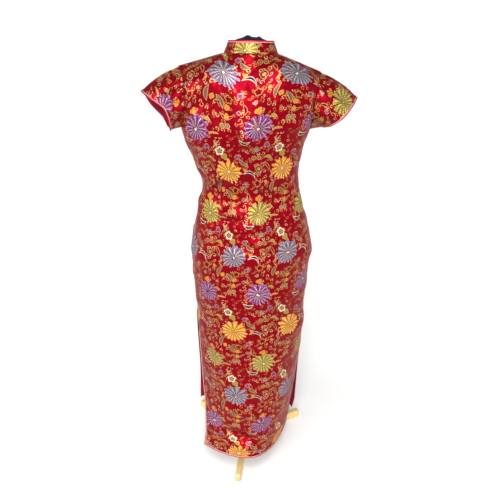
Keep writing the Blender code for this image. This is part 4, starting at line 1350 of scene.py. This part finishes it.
# A sleeve: rings from its armhole to its hem, with folds, gathers and lumps along the normal.
def addSleeve(side):
    turns = np.arange(sleeve["around"]) * 2 * math.pi / sleeve["around"]
    start = sleevePoint(side, turns, 0.0)
    length = np.linalg.norm(sleevePoint(side, turns, 1.0) - start, axis=-1)
    share = np.linspace(0, 1, sleeve["along"] + 1)[:, None]
    share = sleeve["gap"] / length + (1 - (bindInset + sleeve["gap"]) / length) * share
    outer = np.stack([sleevePoint(side, turns, row[:, None]) for row in share])
    outer = relaxed(outer, sleeve["relax"], loop=True)
    normal = gridNormals(outer, -1.0 if side == "left" else 1.0, loop=True)
    height = np.zeros(outer.shape[:2])
    degrees = np.degrees(turns)[None]
    for turn, wide, deep, peak in sleeve["folds"][side]:
        off = (degrees - turn + 180) % 360 - 180
        swell = np.sin(np.pi * share ** (math.log(0.5) / math.log(peak)))
        height += deep / 1000 * swell * np.exp(-((off / wide) ** 2))
    # The cap is eased into the armhole in small gathers, and the seam itself is sunk.
    top = 0.5 + 0.5 * np.cos(turns)[None]
    high, count, reach = sleeve["gathers"]
    height += high * np.sin(turns * count)[None] * np.exp(-((share * length / reach) ** 2)) * top
    depth, reach = sleeve["seamSink"]
    height -= depth * np.exp(-((share * length / reach) ** 2))
    high, size = sleeve["lumps"]
    x, y, z = np.moveaxis(outer, -1, 0)
    height += high * softNoise(x + y, z, size, sleeve["seeds"][side])
    height = height * np.clip((1 - share) / sleeve["hemFlat"], 0, 1)
    outer = outer + normal * height[..., None]
    # Cloth coordinates: round the sleeve from its top, and down it from the seam.
    signed = np.where(turns > math.pi, turns - 2 * math.pi, turns)
    flowerX, flowerDown = sleeve["flowerAt"][side]
    u0, v0 = brocade["firstFlower"]
    row = sleeve["flowerRow"][side]
    u = signed[None] * sleeve["radius"] - flowerX + u0 - (row % 2) * brocade["repeat"] / 2
    u = u + 0 * share
    v = v0 - row * brocade["rowStep"] + flowerDown - share * length
    cloth = np.stack([u, v], -1)
    # The seam in the cloth coordinates is at the underarm, so the grid starts there.
    half = sleeve["around"] // 2
    outer, normal, cloth = (np.roll(grid, half - 1, axis=1) for grid in (outer, normal, cloth))
    piece = addLoopWall(f"sleeve_{side}_cloth", outer, outer - normal * sleeve["thick"], cloth)
    settle(piece, f"sleeve_{side}")
    away = unit(outer[-1] - outer[-2])
    edging = addTrim(f"sleeve_{side}", outer[-1], away, normal[-1], sleeve["thick"], loop=True)
    return piece, edging


# A looped wall whose first column is repeated, so that its cloth coordinates don't wrap.
def addLoopWall(name, outer, inner, cloth):
    step = cloth[:, -1:] - cloth[:, -2:-1]
    outer, inner = (np.concatenate([grid, grid[:, :1]], 1) for grid in (outer, inner))
    cloth = np.concatenate([cloth, cloth[:, -1:] + step], 1)
    piece = addWall(name, outer, inner, cloth, brocadeFaces)
    mergeDoubles(piece)
    return piece


sleeveLeft, sleeveLeftTrim = addSleeve("left")
sleeveRight, sleeveRightTrim = addSleeve("right")

print("collar")

collar = {
    "around": 168,
    "rows": 14,
    "thick": 0.0014,
    "under": 0.0006,  # how far it reaches down, to close its seam
    "wave": 0.0004,
    "seamSink": (0.0005, 0.12),  # depth, and reach as a share of the height
    "flowerShift": (-0.014, -0.010),
    "stretch": 1.25,  # of the pattern, upwards
}


# The collar: a band that leans in, lower and rounded at its two front ends.
def addCollar():
    turns = np.linspace(-math.pi + collarOpening, math.pi - collarOpening, collar["around"] + 1)
    fromEnd = math.pi - collarOpening - np.abs(turns)
    rounded = np.sin(np.clip(fromEnd / collarRounding, 0, 1) * math.pi / 2)
    full = collarHeight * (collarEndShare + (1 - collarEndShare) * rounded)
    share = np.linspace(0, 1, collar["rows"] + 1)[:, None]
    foot = collarFoot - collar["under"]
    height = foot + (full - foot) * share
    outer = np.stack([collarPoint(turns, row) for row in height])
    normal = np.broadcast_to(collarNormal(turns), outer.shape)
    x = outer[..., 0]
    # Stiffened cloth: a faint wave, and a sunk seam at its foot.
    wave = collar["wave"] * np.sin(turns * 5 + 1) * np.sin(np.pi * share)
    depth, reach = collar["seamSink"]
    sink = depth * np.exp(-((share / reach) ** 2))
    outer = outer + normal * (wave - sink + 0 * x)[..., None]
    u0, v0 = brocade["firstFlower"]
    shiftX, shiftUp = collar["flowerShift"]
    u = turns[None] * neckHalfWidth + u0 + shiftX - brocade["repeat"] / 2 + 0 * share
    v = v0 - 3 * brocade["rowStep"] + shiftUp + height * collar["stretch"]
    inner = outer - normal * collar["thick"]
    piece = addWall("collar_cloth", outer, inner, np.stack([u, v], -1), brocadeFaces)
    settle(piece, "collar")
    away = unit(np.cross(normal[-1], np.gradient(outer[-1], axis=0)))
    away = away * np.sign(away[:, 2:])
    return piece, addTrim("collar", outer[-1], away, normal[-1], collar["thick"])


collarCloth, collarTrim = addCollar()

print("frogs")

# Frogs: two cords side by side for each bar, and a round knot over the join of flap and underlap
frog = {
    "at": {"neck": -0.10, "chest": -0.44, "underarm": -0.76},
    "barLength": 0.028,
    "neckLength": 0.0098,  # the neck's bars are short
    "barStart": 0.0052,
    "barLift": 0.0036,  # how far a bar rises to meet its knot
    "liftReach": 0.007,  # and the length over which it does
    "stations": 26,
    "corners": 10,
    "cordHalf": 0.0014,
    "clear": 0.0008,  # how far the cords lie above the form of the front
    "turn": 0.93,  # where along a bar its cord turns round, as a share
    "apart": 1.06,  # how far the bar's two strands lie apart, in cord widths
    "knotRadius": 0.0040,
    "knotGrooves": (9, 0.07),  # how close they are, and their depth as a share of the radius
    "knotRows": 33,
    "knotAround": 48,
}


# Parameters of the front's points at these distances from one point, along a direction.
def surfaceLine(across, height, direction, distances):
    step = 1e-3
    here = bodyPoint("front", across, height)
    acrossWay = (bodyPoint("front", across + step, height) - here) / step
    heightWay = (bodyPoint("front", across, height + step) - here) / step
    rate = np.linalg.lstsq(np.stack([acrossWay, heightWay], -1), direction, rcond=None)[0]
    return across + rate[0] * distances, height + rate[1] * distances


# A frog: each bar is a cord that runs out along the front and back, and the knot is a ball.
def addFrog(name, across):
    height = underarmZ + float(flapShare(np.array(across))) * upperSpan
    near = np.array([across - 0.01, across + 0.01])
    edge = bodyPoint("front", near, underarmZ + flapShare(near) * upperSpan)
    normal = bodyNormal("front", np.array(across), np.array(height))
    run = unit(edge[1] - edge[0])
    away = unit(np.cross(normal, run))
    start, half = frog["barStart"], frog["cordHalf"]
    length = frog["neckLength"] if name == "neck" else frog["barLength"] - start
    share = np.linspace(0, 1, frog["stations"])
    distances = start + share * length
    for part, way in (("flap", -1), ("underlap", 1)):
        lineAcross, lineHeight = surfaceLine(across, height, away, way * distances)
        normals = bodyNormal("front", lineAcross, lineHeight)
        lift = frog["barLift"] * (1 - ramp(start, start + frog["liftReach"], distances))
        out = frog["clear"] + half + lift
        if way > 0:
            out = out - underlapInward(lineAcross, (lineHeight - underarmZ) / upperSpan)
        middle = bodyPoint("front", lineAcross, lineHeight) + normals * out[:, None]
        # The cord runs out on one side, turns round at the far end and comes back on the other.
        beyond = ((share - frog["turn"]) / (1 - frog["turn"])).clip(0)
        spread = half * frog["apart"] * np.sqrt(np.clip(1 - beyond**2, 0, 1))
        there = middle + run * spread[:, None]
        back = (middle - run * spread[:, None])[::-1]
        path = np.concatenate([there[:-1], back])
        outs = np.concatenate([normals[:-1], normals[::-1]])
        side = unit(np.cross(np.gradient(path, axis=0), outs))
        ring = ovalProfile(-half, half, -half, half, frog["corners"], 2)
        piece = addTube(f"frog_{name}_{part}_cord", path, side, outs, ring, frogSatin)
        settle(piece, f"frog_{name}_bar_{part}")
    # A ball whose surface is pressed into three crossing cords, like a tied knot.
    lift = bindRaise + layerGap + cordRaise + layerGap + frog["knotRadius"]
    centre = bodyPoint("front", across, height) + normal * lift
    rows, around = frog["knotRows"], frog["knotAround"]
    rise = np.linspace(-math.pi / 2, math.pi / 2, rows)
    rise, turn = np.meshgrid(rise, np.arange(around) * 2 * math.pi / around, indexing="ij")
    ball = np.stack([np.cos(rise) * np.cos(turn), np.cos(rise) * np.sin(turn), np.sin(rise)], -1)
    ways = unit(np.array([[1, 1, 0.6], [-1, 1, 0.6], [0.2, -1, 1.0]]))
    close, depth = frog["knotGrooves"]
    groove = np.cos(np.abs(ball @ ways.T) * close).max(-1)
    radius = frog["knotRadius"] * (1 - depth + depth * groove)
    points = (centre + ball * radius[..., None]).reshape(-1, 3)
    cloth = (np.stack([turn, rise], -1) * frog["knotRadius"]).reshape(-1, 2)
    quads = gridQuads(0, rows, around, True)
    piece = addMesh(f"frog_{name}_knot_cord", points, quads, cloth, [frogSatin])
    mergeDoubles(piece)
    settle(piece, f"frog_{name}_knot")


for frogName, place in frog["at"].items():
    addFrog(frogName, place)

print("dress form")

form = {
    "bottomZ": 0.640,
    "rings": {"torso": 60, "shoulders": 44, "neck": 10, "dome": 34},
    "neckColumns": 40,
    "shoulderColumns": 34,
    "bodyGap": 0.0048,
    "shoulderGap": 0.0008,
    "neckGap": 0.0010,
    "armInset": 0.05,
    "neckRise": 0.021,
    "neckTop": 0.0125,  # how high the dome stands over the neck's rim
    "neckFoot": 0.004,
    "domeSink": 0.0012,
    "shoulderFrom": (0.8, 0.25),  # above and beyond these shares it comes up under the cloth
    "domePowers": (2.2, 0.9),  # how flat its middle is, and how steep its rim
    "domeShares": (0.97, 0.02),  # the first and the last ring's size, as shares of the rim's
    "gathers": 13,
    "gatherDepth": 0.0020,
    "peaks": ((0.010, 0.009, 0.0045), (-0.018, 0.006, 0.0036)),  # x, half width, height
}


# One ring of the torso, round the back from -X to +X and on across the front.
def formRing(height, across):
    up = float(np.clip((height - underarmZ) / upperSpan, 0, 1))
    across = across * (1 - form["armInset"] * ramp(0, 0.06, up) * ramp(0.75, 1, np.abs(across)))
    ring = []
    for side, order in (("back", across), ("front", across[::-1])):
        above, beyond = form["shoulderFrom"]
        close = ramp(above, 1, up) * ramp(beyond, 0.5, np.abs(order))
        inward = wall + form["bodyGap"] + (form["shoulderGap"] - form["bodyGap"]) * close
        level = np.full(order.shape, height)
        out = wallNormal(side, order, level)
        ring.append(bodyPoint(side, order, level) - out * inward[:, None])
    return ring


# The neck rises inside the collar and closes in a low dome of cloth gathered to the middle.
def neckGrid(first):
    back = np.linspace(-math.pi / 2, math.pi / 2, form["neckColumns"] + 1)
    turns = np.concatenate([back, math.pi - back[-2:0:-1]])
    inward = collarNormal(turns) * (collarWall + form["neckGap"])
    rises = np.linspace(form["neckFoot"], form["neckRise"], form["rings"]["neck"])
    rings = [collarPoint(turns, np.full(turns.shape, rise)) - inward for rise in rises]
    rim = rings[-1]
    centre = rim.mean(0)
    flat, steep = form["domePowers"]
    for share in np.linspace(*form["domeShares"], form["rings"]["dome"]):
        ring = centre + (rim - centre) * share
        dome = form["neckTop"] * (1 - share**flat) ** steep
        fold = np.cos(turns * form["gathers"] + 2 * np.sin(turns * 3))
        fold = fold * (0.6 + 0.4 * np.sin(turns * 5 + 1))
        pinch = ramp(0.02, 0.20, share) * ramp(1.0, 0.75, share)
        ring[:, 2] = rim[:, 2] * share**2 + rim[:, 2].max() * (1 - share**2) - form["domeSink"]
        ring[:, 2] += dome + form["gatherDepth"] * fold * pinch
        for x, wide, high in form["peaks"]:
            ring[:, 2] += high * np.exp(-(((ring[:, 0] - x) / wide) ** 2)) * ramp(0.9, 0.6, share)
        rings.append(ring)
    return np.stack([first] + rings)


# The form: rings a little inside the dress, from its foot to the shoulders, and the neck's rings.
def addForm():
    side = np.linspace(neckShare, 1, form["shoulderColumns"])
    middle = np.linspace(-neckShare, neckShare, form["neckColumns"] + 1)[1:-1]
    across = np.concatenate([-side[::-1], middle, side])
    low = np.linspace(form["bottomZ"], underarmZ, form["rings"]["torso"])
    high = underarmZ + upperSpan * np.linspace(0, 1, form["rings"]["shoulders"])[1:]
    heights = np.concatenate([low, high])
    rings = [formRing(height, across) for height in heights]
    back, front = rings[-1]
    onShoulder = (np.abs(across) >= neckShare - 1e-9)[:, None]
    seam = (back + front[::-1]) / 2
    rings[-1] = [np.where(onShoulder, seam, back), np.where(onShoulder, seam, front[::-1])[::-1]]
    torso = np.stack([np.concatenate(ring) for ring in rings])
    base = torso[:1].mean(1, keepdims=True)
    floor = [base + (torso[:1] - base) * share for share in (0.001, 0.5, 0.97)]
    torso = np.concatenate(floor + [torso])
    inNeck = np.abs(across) <= neckShare + 1e-9
    first = np.concatenate([rings[-1][0][inNeck], rings[-1][1][inNeck[::-1]][1:-1]])
    neck = neckGrid(first)
    count = torso.shape[0] * torso.shape[1]
    quads = [gridQuads(0, *torso.shape[:2], True), gridQuads(count, *neck.shape[:2], True)]
    points = np.concatenate([torso.reshape(-1, 3), neck.reshape(-1, 3)])
    cloth = np.stack([points[:, 0], points[:, 2]], -1)
    piece = addMesh("form_jersey", points, np.concatenate(quads), cloth, [jersey])
    mergeDoubles(piece, 2e-5)
    work = bmesh.new()
    work.from_mesh(piece.data)
    holes = [edge for edge in work.edges if edge.is_boundary]
    bmesh.ops.holes_fill(work, edges=holes, sides=200)
    bmesh.ops.recalc_face_normals(work, faces=work.faces)
    work.to_mesh(piece.data)
    work.free()
    settle(piece, "form_torso")


addForm()

print("stand")

stand = {
    "turns": {"leg_back": 83.5, "leg_left": -36.5, "leg_right": 203.5},
    "start": 0.0334,
    "reach": 0.217,
    "thick": 0.018,
    "low": 0.031,  # height of a leg along its outer part
    "high": 0.055,  # and where it meets the hub
    "nose": 0.010,  # how far back from its tip a leg is rounded
    "levelFrom": 0.62,  # the share of its reach at which a leg's top becomes level
    "squareness": 7.0,
    "corners": 28,
    "stations": 24,
    "grain": (0.35, 6, 6),  # the pine's lines are long this way
    "postGrain": (6, 6, 0.35),
}


# A leg: a board with soft edges whose tip is rounded seen from above and from the side.
def addLeg(name, turn):
    angle = math.radians(turn)
    along = np.array([math.cos(angle), math.sin(angle), 0])
    aside = np.array([-math.sin(angle), math.cos(angle), 0])
    reach, nose = stand["reach"], stand["nose"]
    arc = np.linspace(0, math.pi / 2, 9)
    away = np.linspace(stand["start"], reach - nose, stand["stations"])
    away = np.concatenate([away, reach - nose + nose * np.sin(arc[1:])])
    shrink = np.concatenate([np.ones(stand["stations"]), np.cos(arc[1:])])
    half = stand["thick"] / 2 * shrink
    slope = (stand["start"], reach * stand["levelFrom"])
    top = np.interp(away, slope, (stand["high"], stand["low"]))
    sections = []
    for r, wide, upper, share in zip(away, half, top, shrink):
        drop = (1 - share) * upper / 2
        corners, power = stand["corners"], stand["squareness"]
        oval = ovalProfile(-wide, wide, drop, upper - drop, corners, power)
        sections.append(along * r + oval[:, :1] * aside + oval[:, 1:] * np.array([0, 0, 1]))
    sections = np.array(sections)
    ends = sections.mean(1, keepdims=True) + 0 * sections
    sections = np.concatenate([ends[:1], sections, ends[-1:]])
    quads = gridQuads(0, *sections.shape[:2], True)
    points = sections.reshape(-1, 3)
    pine = makePine(f"pine, {name}", stand["grain"], turn)
    piece = addMesh(f"{name}_wood", points, quads, points[:, :2], [pine])
    mergeDoubles(piece)
    settle(piece, name)


for name, turn in stand["turns"].items():
    addLeg(name, turn)
postPine = makePine("pine, turned post", stand["postGrain"], 0)
for name in ("pole", "hub"):
    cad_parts[name].material_slots[0].material = postPine

print("studio")

studio = {
    "floor": "E4E4E3",
    "reach": 300.0,
    "lens": 36.0,
    "sensor": 36.0,
    "farthest": 1000,
    "tilt": 27.30,  # how far the camera looks down
    "roll": 0.9,
    "at": (0.0, 1.3254, 1.4348),
    "shift": 0.0026,
    # the sky's brightness by the height, from the horizon at 0 to 1 overhead
    "sky": ((0.0, 1.0), (0.12, 0.64), (0.30, 0.55), (0.55, 0.20), (1.0, 0.30)),
    # where each broad light stands, how wide it looks in degrees, and its strength
    "suns": {
        "key": ((0.14, 1.5, 1.30), 24, 2.3),
        "low front": ((0.08, 1.5, 0.25), 26, 1.3),
        "overhead": ((0.10, 0.55, 1.5), 30, 1.5),
        "left softbox": ((1.5, 0.70, 0.55), 24, 1.2),
        "right softbox": ((-1.5, 0.70, 0.55), 24, 0.5),
    },
}


# A pale floor that reaches out of view, a camera, a soft sky and five broad lights.
def addStudio():
    reach = studio["reach"]
    mesh = bpy.data.meshes.new("floor")
    corners = [(-reach, -reach, 0), (reach, -reach, 0), (reach, reach, 0), (-reach, reach, 0)]
    mesh.from_pydata(corners, [], [(0, 1, 2, 3)])
    floor = bpy.data.objects.new("floor", mesh)
    bpy.context.scene.collection.objects.link(floor)
    paint = {"Roughness": 0.9, "Base Color": linear(studio["floor"])}
    mesh.materials.append(newMaterial("white floor, matt paint", paint)[0])
    data = bpy.data.cameras.new("camera")
    data.lens = studio["lens"]
    data.sensor_width = studio["sensor"]
    data.shift_x = studio["shift"]
    data.clip_end = studio["farthest"]
    camera = bpy.data.objects.new("camera", data)
    about = Matrix.Rotation(math.pi, 4, "Z")
    down = Matrix.Rotation(math.radians(90 - studio["tilt"]), 4, "X")
    roll = Matrix.Rotation(math.radians(studio["roll"]), 4, "Z")
    camera.matrix_world = Matrix.Translation(studio["at"]) @ about @ down @ roll
    bpy.context.scene.collection.objects.link(camera)
    bpy.context.scene.camera = camera
    world = bpy.data.worlds.new("world")
    world.use_nodes = True
    add = partial(addNode, world.node_tree)
    height = add("SeparateXYZ", add("TexCoord")).node.outputs[2]
    stops = [(place, (bright, bright, bright, 1)) for place, bright in studio["sky"]]
    sky = add("ValToRGB", height, stops=stops, interpolation="LINEAR")
    setInputs(world.node_tree.nodes["Background"], {0: sky})
    bpy.context.scene.world = world
    for name, (place, wide, strength) in studio["suns"].items():
        light = bpy.data.lights.new(name, "SUN")
        light.angle = math.radians(wide)
        light.energy = strength
        lamp = bpy.data.objects.new(name, light)
        lamp.rotation_euler = Vector(place).to_track_quat("Z", "Y").to_euler()
        bpy.context.scene.collection.objects.link(lamp)
    bpy.context.scene.view_settings.view_transform = "Standard"


addStudio()
